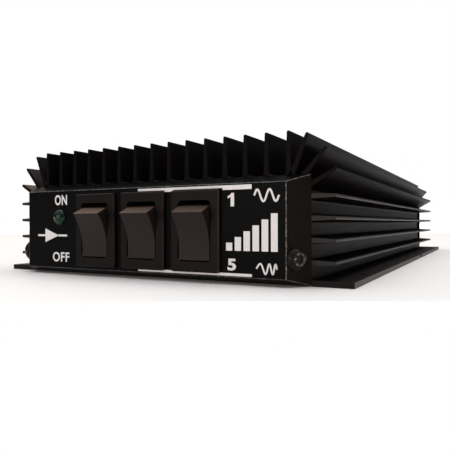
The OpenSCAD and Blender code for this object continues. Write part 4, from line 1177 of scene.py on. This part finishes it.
slits = [notched(r, h, count=4, depth=4.5, width=0.24)
         for r, h in ((2.0, 15.1), (2.2, 15.4), (3.0, 15.4), (3.2, 15.2))]
for name, node, slot, used, rings, count, closed in (
    ("socket_insulation", "socket_insulators", "socket_white", white_plastic, [
        (3.25, -4), (3.25, 6.7), (3.5, 7), (4.1, 7), (4.4, 6.5), (5.3, 6.5), (5.6, 7), (6.0, 7),
        (6.15, 6.8), (6.15, -3.85), (6.0, -4)], 48, True),
    ("centre_contacts", "socket_contacts", "contact_brass", brass, [
        (0, 3.4), (2, 3.4), (2, 10.5)] + slits + [(3.2, 10.5), (3.2, -3.9), (3.1, -4), (1.6, -4),
        (1.6, -7.8), (1.4, -8), (0, -8)], 72, False),
    ("hexagon_nuts", "socket_nuts", "nickel", nickel, [
        (7.59, 0.8), (9.2, 0.8), hexagon(19, 1.35, 0.5), hexagon(19, 3.8, 0.55), (9.3, 3.8),
        (7.9, 3.8), (7.59, 3.55)], 96, True),
    ("lock_washers", "socket_washers", "zinc_steel", zinc, [
        (8.04, 0.15), (8.7, 0.15), toothed(9.95, 0.16), toothed(9.95, 0.62), (8.7, 0.65),
        (8.04, 0.65)], 120, True),
):
    turned_piece(name, node, "housing", slot, used, rings, socket_spots, backwards, count, closed)

# %% [markdown]
# ## Grommet
# A soft rubber ring squeezed into the panel. Its two flanges are rounded like a bead, which a
# turned outline with arcs gives directly.

# %% Grommet
rubber = finish("black_rubber", (0.006, 0.006, 0.006), (0.012, 0.011, 0.011), 0.6, grain=0.25,
                bump=0.012, cloud=3, Specular_IOR_Level=0.25)
bead_r, bore_side, waist_r = 0.7, 3.2, 4.95
outer_bead = arc((5.9, 0.85), bead_r, 90, -60, 8)
inner_bead = arc((5.9, -1.85), bead_r, 60, -90, 8)
waist = [(5.6, 0), (waist_r, 0), (waist_r, -1), (5.6, -1)]
rings = [(3.35, 1.6)] + outer_bead + waist + inner_bead + [
    (3.35, -2.6), (bore_side, -2.45), (bore_side, 1.45)]
turned_piece("lead_grommet", "power_lead_grommet", "housing", "black_rubber", rubber, rings,
             [(0, rear_face, socket_z)], backwards, count=48, closed=True)

# %% [markdown]
# ## Wires and windings
# A wire is a route with rounded corners and a round section. A coil is the same thing with its
# route wound by a formula. One tree does both: it rounds the corners of a route by a named
# radius and sweeps a circle along it.

# %% Tree that draws wire along a route
wire_tree, size, result = new_tree("draw_wire", {
    "Wire radius": "Float", "Bend radius": "Float", "Sides": "Int", "Finish": "Material",
})
route = add_node(wire_tree, "GeometryNodeMeshToCurve", {0: size["Geometry"]})
bend = add_node(wire_tree, "GeometryNodeFilletCurve", {
    "Curve": route.outputs[0], "Radius": size["Bend radius"], "Count": 6, "Limit Radius": True,
}, mode="POLY")
section = add_node(wire_tree, "GeometryNodeCurvePrimitiveCircle", {
    "Resolution": size["Sides"], "Radius": size["Wire radius"]})
sweep = add_node(wire_tree, "GeometryNodeCurveToMesh", {
    "Curve": bend.outputs[0], "Profile Curve": section.outputs[0], "Fill Caps": True})
fill(wire_tree, result, {0: made_real(wire_tree, sweep.outputs[0], size["Finish"])})


def draw_wire(routes, radius, bend_radius, finish_used, sides=12):
    """A mesh of one wire along each route."""
    lines = bpy.data.meshes.new("routes")
    points, edges = [], []
    for path in routes:
        edges += [(len(points) + i, len(points) + i + 1) for i in range(len(path) - 1)]
        points += path
    lines.from_pydata(points, edges, [])
    return grow(wire_tree, lines, Wire_radius=radius, Bend_radius=bend_radius, Sides=sides,
                Finish=finish_used)


print("wire tree has", len(wire_tree.nodes), "nodes")

# %% [markdown]
# ### Wire as a piece, or as part of one
# Some wires are pieces of their own. Others belong to a coil or a capacitor and take one of
# that piece's finishes. The points of a coil are a helix along Z.

# %% Ways to use wire
def wire_piece(name, node, body, slot, finish_used, routes, radius, bend_radius, sides=12):
    wires = keep_mesh(name, draw_wire(routes, radius, bend_radius, finish_used, sides), [])
    return dress(wires, body, slot, node)


def add_wire(form, routes, radius, bend_radius, material, sides=8):
    """Adds drawn wire to a larger shape, with one of that shape's finishes."""
    mesh = draw_wire(routes, radius, bend_radius, None, sides)
    mesh.materials.clear()
    for face in mesh.polygons:
        face.material_index = material
    form.from_mesh(mesh)
    bpy.data.meshes.remove(mesh)


def helix(radius, turns, length, start=0.0, steps=14):
    """Points of a coil along Z, as a list."""
    count = round(turns * steps)
    angles = [start + math.tau * turns * k / count for k in range(count + 1)]
    return [Vector((radius * math.cos(a), radius * math.sin(a), length * k / count))
            for k, a in enumerate(angles)]


print("points in three turns:", len(helix(1, 3, 3)))

# %% [markdown]
# ### Wires from the panels to the board
# Each switch has three terminals above one another, and each wire goes straight back and then
# up or down to the board's underside. The light's two leads and the sockets' two wires do the
# same. The routes start from the sizes of the nodes, so they meet their ends.

# %% Switch wires, light leads and socket wires
red_wire = finish("wire_red", (0.30, 0.022, 0.016), (0.22, 0.015, 0.012), 0.42, grain=0.4,
                  bump=0.01, cloud=5)
bare_wire = finish("tinned_wire", (0.6, 0.58, 0.55), (0.5, 0.48, 0.45), 0.3, grain=0.2,
                   bump=0.01, cloud=3, Metallic=0.9)
board_low, board_high = mm_box("circuit_board")
board_under, board_top = board_low.z, board_high.z
switch_xs, switch_z, terminal_pitch = (-15.3, 1.7, 18.7), 13.5, 6.2
hole_y = board_low.y + 3
tab_end = mm_box("switch_terminals_1")[1].y - 1.5
upper_z, lower_z, dip_z = switch_z + terminal_pitch, switch_z - terminal_pitch, board_under - 3.5
routes = []
for x in switch_xs:
    left, right = x - 1.7, x + 1.7
    routes += [
        [(x, tab_end, upper_z), (x, hole_y - 5.5, upper_z), (x, hole_y - 5.5, dip_z),
         (x, hole_y, dip_z), (x, hole_y, board_under)],
        [(left, tab_end, switch_z), (left, hole_y + 1, switch_z), (left, hole_y + 1, board_under)],
        [(right, tab_end, lower_z), (right, hole_y + 2, lower_z), (right, hole_y + 2, board_under)],
    ]
wire_piece("switch_leads", "switch_wires", "housing", "wire_red", red_wire, routes,
           radius=0.6, bend_radius=1.6)
lead_half, lead_bend_y = 1.27, -74.5
routes = [[(x, light_high.y, light_z), (x, lead_bend_y, light_z), (x, lead_bend_y, board_under)]
          for x in (light_x - lead_half, light_x + lead_half)]
wire_piece("light_wires", "light_leads", "housing", "tinned_wire", bare_wire, routes,
           radius=0.35, bend_radius=1.5)
contact_end, socket_bend_y = 98.1, 78
routes = [[(x, contact_end, socket_z), (x, socket_bend_y, socket_z), (x, socket_bend_y, board_under)]
          for x in (-socket_x, socket_x)]
wire_piece("socket_leads", "socket_wires", "housing", "tinned_wire", bare_wire, routes,
           radius=0.8, bend_radius=2)

# %% [markdown]
# ## Inside the switches
# Behind each rocker a brass plunger sits on a tiny spring in the rocker's post. It slides along
# a tilting lever and snaps it from one contact to the other. The plunger is turned, the spring
# is wound by the wire tree, and the lever and blades are the frame's shapes with soft edges.

# %% Plungers, springs, levers and terminals
steel_wire = finish("spring_steel", (0.45, 0.45, 0.47), (0.35, 0.35, 0.37), 0.28, grain=0.1,
                    bump=0.004, cloud=1, Metallic=1.0)
pivot_depth, spring_foot, lean = 1.8, 1.25, math.radians(16)
along = Vector((0, math.cos(lean), math.sin(lean)))
plunger = [(0, 4.3), (0.85, 4.3), (0.95, 4.4)] + arc((0, 6.7), 0.95, 0, 80, 6) + [(0, 7.65)]
for i, x in enumerate(switch_xs, 1):
    pivot = Vector((x, face_y + pivot_depth, switch_z))
    turned_piece(f"brass_plunger_{i}", f"rocker_plunger_{i}", f"rocker_{i}", "contact_brass", brass,
                 plunger, [pivot], along)
    coil = [aimed(pivot, along) @ (p + Vector((0, 0, spring_foot)))
            for p in helix(radius=0.7, turns=6, length=2.8)]
    wire_piece(f"coil_spring_{i}", f"plunger_spring_{i}", f"rocker_{i}", "spring_steel", steel_wire,
               [coil], radius=0.16, bend_radius=0, sides=8)
    soft_piece(f"tilting_lever_{i}", f"contact_lever_{i}", f"contact_{i}", "contact_brass", [brass],
               width=0.12)
    soft_piece(f"switch_blades_{i}", f"switch_terminals_{i}", "housing", "tinned_blades", [tin],
               width=0.14)

# %% [markdown]
# ## Clip behind the light
# A plastic collar snaps over the light from behind. Its mouth is notched six times so that it
# can give, which the same dipping rings make as on the sockets.

# %% Clip behind the light
clip_plastic = finish("clip_black", (0.008, 0.008, 0.008), (0.012, 0.011, 0.011), 0.4, grain=0.1,
                      bump=0.008, cloud=2, Specular_IOR_Level=0.3)
mouth = [notched(r, h, count=6, depth=1.7, width=0.35)
         for r, h in ((3.9, 4.8), (3.7, 5), (3.15, 5), (3.0, 4.8))]
rings = [(2.5, 1), (3.7, 1), (3.9, 1.2), (3.9, 3.1)] + mouth + [(3.0, 1.8), (2.5, 1.8)]
turned_piece("light_collar", "light_clip", "housing", "clip_black", clip_plastic, rings,
             [light_spot], backwards, count=72, closed=True)

# %% [markdown]
# ## Brackets, spacers and machine screws
# Four folded brackets hold the panels. Round brass spacers keep the board off the deck, and the
# screws that pass through them are set by the same tree as the ones outside.

# %% Brackets, spacers and screws inside
soft_piece("folded_brackets", "panel_brackets", "housing", "zinc_steel", [zinc], width=0.2)
board_spots = [(side * 35, y) for side in (1, -1) for y in (-70, 2, 74)]
spacer = [(1.7, 0.2), (1.9, 0), (2.8, 0), (3, 0.2), (3, 2.4), (2.8, 2.6), (1.9, 2.6), (1.7, 2.4)]
turned_piece("brass_spacers", "board_spacers", "housing", "contact_brass", brass, spacer,
             [(x, y, board_top) for x, y in board_spots], (0, 0, 1), count=36, closed=True)
transistor_y, screw_reach = 12, 2.3
flange_xs = [x + side * 9.2 for x in (-14, 14) for side in (-1, 1)]
for name, node, seat_z, spots, seed in (
    ("board_fixings", "board_screws", board_under, board_spots, 11),
    ("transistor_fixings", "transistor_screws", deck_under - 2.5,
     [(x, transistor_y) for x in flange_xs], 12),
    ("regulator_fixing", "regulator_screw", deck_under - 1.3, [(33, -23.5)], 13),
):
    places = [((x, y, seat_z), (0, 0, -1)) for x, y in spots]
    screw = pan_screw(head_r=2.75, head_h=2, length=deck_under + screw_reach - seat_z)
    set_screws(name, node, screw, places, "zinc_steel", zinc, worn_span=(0.9, 2.2), seed=seed)

# %% [markdown]
# ## Circuit board
# The board hangs under the deck with its parts downwards. Its solder side looks up: tracks
# under green lacquer run between the pins. The tracks are wire from the same tree, pressed
# nearly flat.

# %% Board and tracks
lacquer = finish("board_green", (0.012, 0.07, 0.028), (0.018, 0.09, 0.036), 0.3, grain=0.6,
                 bump=0.006, cloud=8)
track = finish("track_green", (0.05, 0.2, 0.06), (0.04, 0.16, 0.05), 0.28, grain=0.5, bump=0.006,
               cloud=4)
flatness = 0.06
runs = [
    [(-31.7, -74.5), (-31.7, -66), (-26, -60), (-26, -38)],
    [(-29.1, -74.5), (-29.1, -64), (-33, -58), (-33, -40), (-36, -30)],
    [(-15.3, -73), (-15.3, -62), (-20, -56), (-20, -38)], [(-17, -72), (-17, -64), (-23, -58), (-23, -38)],
    [(1.7, -73), (1.7, -60), (-6, -50), (-6, -16)], [(0, -72), (-10, -62), (-10, -10), (-5.5, -10)],
    [(18.7, -73), (24, -66), (24, -56), (28, -50)], [(17, -72), (10.2, -64)],
    [(10.2, -48), (10.2, -40), (14, -36)], [(-22, -18), (-16, -10), (-5.5, -4)],
    [(5.5, -16), (9, -20), (9, -24)], [(5.5, -4), (12, 2), (14, 2)], [(-14, 23), (-10, 26), (-6, 25)],
    [(14, 23), (10, 26), (6, 25)], [(0, 53), (0, 66), (-6, 77)], [(6, 77), (12, 70), (12, 58), (16, 52)],
    [(24, 66), (26, 72), (26, 78)], [(-26, 78), (-26, 62), (-18, 54)], [(-30, 52), (-32, 44), (-30, 35)],
    [(30, 36), (34, 44), (31, 52)], [(28, -58), (34, -52), (34, -38)],
]
board = cad_copy("circuit_board")
soften(board, width=0.12, segments=1, sharper_than=60)
tracks = draw_wire([[(x, y, 0) for x, y in run] for run in runs],
                   radius=0.7, bend_radius=1.5, finish_used=None, sides=8)
tracks.transform(Matrix.Translation((0, 0, board_top)) @ Matrix.Diagonal((1, 1, flatness, 1)))
tracks.materials.clear()
for face in tracks.polygons:
    face.material_index = 1
board.from_mesh(tracks)
dress(keep("printed_board", board, [lacquer, track]), "housing", "board_green", "circuit_board")

# %% [markdown]
# ### Solder
# Each pin ends in a small cone of solder on the upper side, one at both ends of every track.
# The cones are a piece of their own that stands for no node, as the frame has none.

# %% Solder
cone = [(1.05, 0), (0.95, 0.12), (0.55, 0.3), (0.35, 0.6), (0.3, 0.95), (0, 1)]
pins = sorted({end for run in runs for end in (run[0], run[-1])})
solder = bmesh.new()
for x, y in pins:
    add_turned(solder, cone, (x, y, board_top - 0.01), (0, 0, 1), count=16)
solder = keep("solder_joints", solder, [tin], 60)
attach(solder, "housing")
print("solder joints:", len(pins))

# %% [markdown]
# ## Power transistors
# Two flanged transistors are bolted to the deck. Their plated flange carries a white ceramic cap
# and two wide leads. The frame's shape is right, so it is softened and its parts are told
# apart by where they lie. The regulator and the trimmer are made the same way.

# %% Transistors, regulator and trimmer
ceramic = finish("white_ceramic", (0.78, 0.76, 0.72), (0.7, 0.68, 0.64), 0.4, grain=0.1,
                 bump=0.004, cloud=2)
epoxy = finish("epoxy_black", (0.012, 0.012, 0.012), (0.018, 0.017, 0.017), 0.5, grain=0.15,
               bump=0.012, cloud=2)
trimmer_blue = finish("trimmer_blue", (0.02, 0.07, 0.3), (0.015, 0.055, 0.24), 0.42, grain=0.12,
                      bump=0.008, cloud=2)
rotor_white = finish("trimmer_rotor", (0.72, 0.7, 0.64), (0.64, 0.62, 0.56), 0.45, grain=0.1,
                     bump=0.006, cloud=1.5)
flange_under, lead_under, cap_half = deck_under - 2.52, board_under - 0.22, 4.5
tab_from, legs_from = -26.99, -36.01


def transistor_finish(middle):
    """0 is the ceramic cap, 1 the flange, 2 a lead."""
    if middle.z > flange_under:
        return 1
    return 2 if middle.z > lead_under and abs(middle.y - transistor_y) > cap_half else 0


def regulator_finish(middle):
    """0 is the epoxy body, 1 its tab and legs."""
    return int(middle.y > tab_from or middle.y < legs_from)


for i in (1, 2):
    soft_piece(f"power_transistor_{i}", f"rf_transistor_{i}", "housing", "white_ceramic",
               [ceramic, nickel, tin], width=0.15, finish_at=transistor_finish)
soft_piece("bias_supply", "bias_regulator", "housing", "epoxy_black", [epoxy, tin], width=0.15,
           finish_at=regulator_finish)
soft_piece("trimmer_case", "bias_trimmer_body", "housing", "trimmer_blue", [trimmer_blue],
           width=0.3, segments=3)
soft_piece("trimmer_dial", "bias_trimmer_rotor", "trimmer", "trimmer_rotor", [rotor_white],
           width=0.12)

# %% [markdown]
# ## Transformers
# The two transformers are rows of ferrite beads with wire through their bores. Each row is one
# turned outline with a groove between beads, and the wire makes two turns through both rows.

# %% Ferrite and the two baluns
ferrite = finish("ferrite", (0.022, 0.021, 0.022), (0.04, 0.038, 0.038), 0.6, grain=0.2,
                 bump=0.02, cloud=1.5, Specular_IOR_Level=0.3)
groove, skin_gap, slope = 0.45, 0.05, 0.35


def twin_core(name, node, at, r, length, bore, beads, wire_r):
    """Two rows of beads, a saddle against the board and two turns of wire through the bores."""
    form = bmesh.new()
    low_z = board_under - r - 0.2
    bead = length / beads
    rings = [(bore, -length / 2), (bore, length / 2)]
    for k in reversed(range(beads)):
        start, end = -length / 2 + bead * k, -length / 2 + bead * (k + 1)
        rings += [(r - groove, end), (r - skin_gap, end - slope), (r - skin_gap, start + slope),
                  (r - groove, start)]
    for side in (-1, 1):
        add_turned(form, rings, (at[0] + side * r, at[1], low_z), (0, 1, 0), count=40, closed=True)
    add_bar(form, (r * 2.8, length, 0.8), (at[0], at[1], board_under - 0.4))
    ends = length / 2 + wire_r + 1.2
    near, far = at[1] - ends, at[1] + ends
    left, right = at[0] - r, at[0] + r
    half_gap = 0.55 * wire_r + 0.25
    for z in (low_z - half_gap, low_z + half_gap):
        add_wire(form, [[(left, near, board_under), (left, near, z), (left, far, z), (right, far, z),
                         (right, near, z), (right, near, board_under)]],
                 wire_r, bend_radius=1.0, material=1, sides=10)
    dress(keep(name, form, [ferrite, red_wire], 40), "housing", "ferrite", node)


twin_core("input_balun", "input_transformer", (12, -30), r=3.2, length=14, bore=1.4,
          beads=3, wire_r=0.4)
twin_core("output_balun", "output_transformer", (0, 38), r=6.2, length=27, bore=3.1,
          beads=4, wire_r=0.7)
soft_piece("balun_tubes", "transformer_tubes", "housing", "contact_brass", [brass], width=0.15)

# %% [markdown]
# ## Filter coils
# Each filter coil is an iron-powder ring wound with enamelled copper. The winding is a helix
# bent round the ring: one angle goes round the ring, the other round its section. It starts
# and ends at the board.

# %% Filter coils
copper = finish("copper_coil", (0.62, 0.22, 0.08), (0.5, 0.16, 0.05), 0.28, grain=0.3,
                bump=0.004, cloud=2, Metallic=0.9)
iron = finish("iron_core", (0.5, 0.32, 0.02), (0.4, 0.25, 0.02), 0.5)
ring_r, section_r, copper_r = 6.2, 1.5, 0.42
winding_r, turns, steps, wound_share = 1.97, 15, 12, math.radians(330)
section = [(ring_r + section_r * math.cos(math.tau * k / 16), section_r * math.sin(math.tau * k / 16))
           for k in range(16)]
coils = bmesh.new()
for x, y in ((-24, 34), (-24, 53), (24, 36)):
    centre = Vector((x, y, board_under - 2.6))
    add_turned(coils, section, centre, (0, 0, 1), count=40, closed=True)
    path = []
    for k in range(turns * steps + 1):
        around = wound_share * k / (turns * steps)
        swing = math.tau * k / steps + math.pi / 2
        reach = ring_r + winding_r * math.cos(swing)
        path.append(centre + Vector((reach * math.cos(around), reach * math.sin(around),
                                     winding_r * math.sin(swing))))
    first, last = (Vector((end.x, end.y, board_under)) for end in (path[0], path[-1]))
    add_wire(coils, [[first] + path + [last]], copper_r, bend_radius=0, material=1)
dress(keep("wound_rings", coils, [iron, copper]), "housing", "copper_coil", "filter_coils")

# %% [markdown]
# ## Supply choke
# The choke is a ferrite rod with twelve turns of thicker wire. Its helix is made along Z and
# laid down along Y by swapping coordinates.

# %% Supply choke
rod_r, rod_half, choke_r, choke_turns, choke_length = 2.8, 9, 3.4, 12, 12.8
edge = 0.3
centre = Vector((10.2, -56, board_under - 4.3))
rod = [(0, -rod_half), (rod_r - edge, -rod_half), (rod_r, edge - rod_half), (rod_r, rod_half - edge),
       (rod_r - edge, rod_half), (0, rod_half)]
choke = bmesh.new()
add_turned(choke, rod, centre, (0, 1, 0), count=32)
path = [centre + Vector((-p.x, p.z - choke_length / 2, p.y))
        for p in helix(choke_r, choke_turns, choke_length, math.pi / 2)]
first, last = (Vector((end.x, end.y, board_under)) for end in (path[0], path[-1]))
add_wire(choke, [[first] + path + [last]], radius=0.5, bend_radius=0, material=1)
dress(keep("wound_choke", choke, [ferrite, copper]), "housing", "copper_coil", "supply_choke")

# %% [markdown]
# ## Relays
# The relays are sealed boxes on a base, with a moulded pip near one corner. Moulded edges are
# round, so the boxes are bevelled in three steps.

# %% Relays
relay_black = finish("relay_black", (0.010, 0.010, 0.012), (0.015, 0.015, 0.017), 0.35, grain=0.12,
                     bump=0.01, cloud=3)
case_half_x, case_half_y, base_overlap, case_low = 7.5, 9.35, 0.25, 5.05


def add_block(form, low, high, edge):
    """A block with rounded edges, added to a larger shape."""
    low, high = Vector(low), Vector(high)
    corners = add_bar(form, high - low, (low + high) / 2)
    bmesh.ops.bevel(form, geom=list(dict.fromkeys(e for v in corners for e in v.link_edges)),
                    offset=edge, segments=3, profile=0.5, affect="EDGES", clamp_overlap=True)


for name, node, x, y in (("receive_relay", "input_relay", -22, -28),
                         ("antenna_relay", "output_relay", 24, 56)):
    case = bmesh.new()
    half_x, half_y = case_half_x + base_overlap, case_half_y + base_overlap
    add_block(case, (x - half_x, y - half_y, board_under - 1.2), (x + half_x, y + half_y, board_under), 0.2)
    add_block(case, (x - case_half_x, y - case_half_y, case_low),
              (x + case_half_x, y + case_half_y, board_under - 1), 0.6)
    pip = [(0, 0), (0.9, 0.05), (1.1, 0.3), (1.1, 0.5)]
    add_turned(case, pip, (x - 5, y + 6.5, 4.8), (0, 0, 1), count=16)
    dress(keep(name, case, [relay_black]), "housing", "relay_black", node)

# %% [markdown]
# ## Capacitors
# The big ones are crimped cans in a blue sleeve, with a bare top and a rubber bung at the
# board. The small ones are discs that were dipped, so they are thicker in the middle.

# %% Storage cans
sleeve = finish("can_blue", (0.015, 0.03, 0.14), (0.02, 0.04, 0.17), 0.35, grain=0.3, bump=0.006,
                cloud=3)
silver = finish("can_top", (0.62, 0.62, 0.63), (0.55, 0.55, 0.56), 0.35, grain=0.1, bump=0.004,
                cloud=1, Metallic=1.0)
can = [(0, 0.3), (2.9, 0.3), (3.1, 0.0), (3.7, 0), (4, 0.3), (4, 7.9), (3.65, 8.25), (3.65, 8.6),
       (4, 8.95), (3.9, 9.3), (3.55, 9.35), (3.55, 11.5), (0, 11.5)]
can_length, top_zone, bung_zone = 11.5, 10.5, 2.2
cans = bmesh.new()
for x, y in ((28, -48), (28, -60), (34.5, 22)):
    add_turned(cans, can, (x, y, board_under - can_length), (0, 0, 1), count=40)
for face in cans.faces:
    drop = board_under - face.calc_center_median().z
    if abs(face.normal.z) > 0.9 and drop > top_zone:
        face.material_index = 1
    elif drop < bung_zone:
        face.material_index = 2
dress(keep("storage_cans", cans, [sleeve, silver, rubber]), "housing", "can_blue",
      "smoothing_capacitors")

# %% [markdown]
# ### Dipped discs
# Each disc is a lens-shaped turning that stands on edge, on two short leads.

# %% Dipped discs
ochre = finish("disc_ochre", (0.5, 0.2, 0.05), (0.42, 0.16, 0.04), 0.4, grain=0.2, bump=0.01,
               cloud=1)
disc_half = [(1.5, 0.74), (2.2, 0.5), (2.55, 0.2)]
disc = [(0, -0.8)] + [(r, -h) for r, h in disc_half] + [(2.6, 0)] + disc_half[::-1] + [(0, 0.8)]
leg_half, disc_drop, leg_top = 1.25, 3.6, 2.6
discs = bmesh.new()
for x, y in ((-14, -2), (-22, -2), (14, -2), (22, -2), (-28, 22), (-16, 25), (16, 25), (24, 69.6)):
    add_turned(discs, disc, (x, y, board_under - disc_drop), (1, 0, 0), count=32)
    for leg_y in (y - leg_half, y + leg_half):
        add_wire(discs, [[(x, leg_y, board_under - leg_top), (x, leg_y, board_under)]],
                 radius=0.3, bend_radius=0, material=1)
dress(keep("dipped_discs", discs, [ochre, bare_wire]), "housing", "disc_ochre", "disc_capacitors")

# %% [markdown]
# ## Resistors
# A resistor is a barrel with swollen ends and painted bands. Its outline has extra rings where
# the bands begin and end, so that each band is a strip of faces with a finish of its own.

# %% Banded resistors
cream = finish("resistor_body", (0.62, 0.5, 0.33), (0.55, 0.44, 0.28), 0.42, grain=0.2,
               bump=0.008, cloud=2)
bands = [finish("band_" + label, colour, [c * 0.85 for c in colour], 0.45) for label, colour in
         (("brown", (0.12, 0.04, 0.015)), ("black", (0.01, 0.01, 0.01)), ("gold", (0.5, 0.33, 0.08)))]
band_spans = ((-2.9, -2.1), (-1.2, -0.4), (2.2, 3.0))
waist_r, waist_half, leg_x = 1.9, 3.1, 5.5
swelling = [(0, -6.5), (1.5, -6.5), (2.1, -6.1), (2.2, -5.5), (2.2, -4.5), (waist_r, -3.8)]
barrel = swelling + [(waist_r, x) for span in band_spans for x in span]
barrel += [(r, -h) for r, h in swelling[::-1]]
middle_z = board_under - 2.6
resistors = bmesh.new()
for y in (-16, -10, -4):
    add_turned(resistors, barrel, (0, y, middle_z), (1, 0, 0), count=32)
    for x in (-leg_x, leg_x):
        add_wire(resistors, [[(x, y, middle_z + 1), (x, y, board_under)]],
                 radius=0.4, bend_radius=0, material=4)
for face in resistors.faces:
    x = face.calc_center_median().x
    if face.material_index == 0 and max(abs(v.co.x) for v in face.verts) < waist_half:
        for index, (start, end) in enumerate(band_spans, 1):
            if start < x < end:
                face.material_index = index
dress(keep("banded_resistors", resistors, [cream] + bands + [bare_wire]), "housing",
      "resistor_body", "attenuator_resistors")

# %% [markdown]
# ## Supply tabs
# The supply lead pushes onto two flat tinned blades at the board's rear edge. They are cut
# from sheet, so their outline is pushed through and its edges are softened.

# %% Supply tabs
tab_half, tip_half, shoulder_z, tip_z = 3.15, 2.2, 13, 11.8
tab_back, tab_front = board_high.y - 2.9, board_high.y - 2.1
tabs = bmesh.new()
for x in (-6, 6):
    extrude_y(tabs, [(x - tab_half, board_under), (x - tab_half, shoulder_z), (x - tip_half, tip_z),
                     (x + tip_half, tip_z), (x + tab_half, shoulder_z), (x + tab_half, board_under)],
              tab_back, tab_front)
soften(tabs, width=0.18, sharper_than=40)
dress(keep("supply_blades", tabs, [tin]), "housing", "tinned_blades", "supply_tabs")

# %% [markdown]
# ## Looking back
# Every solid of the frame should have a dressed piece by now. The list of those that don't is
# empty when nothing was forgotten.

# %% Nodes of the frame that are still shown
left = [name for name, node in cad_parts.items() if not node.hide_render]
print("frame nodes without a piece of their own:", left)
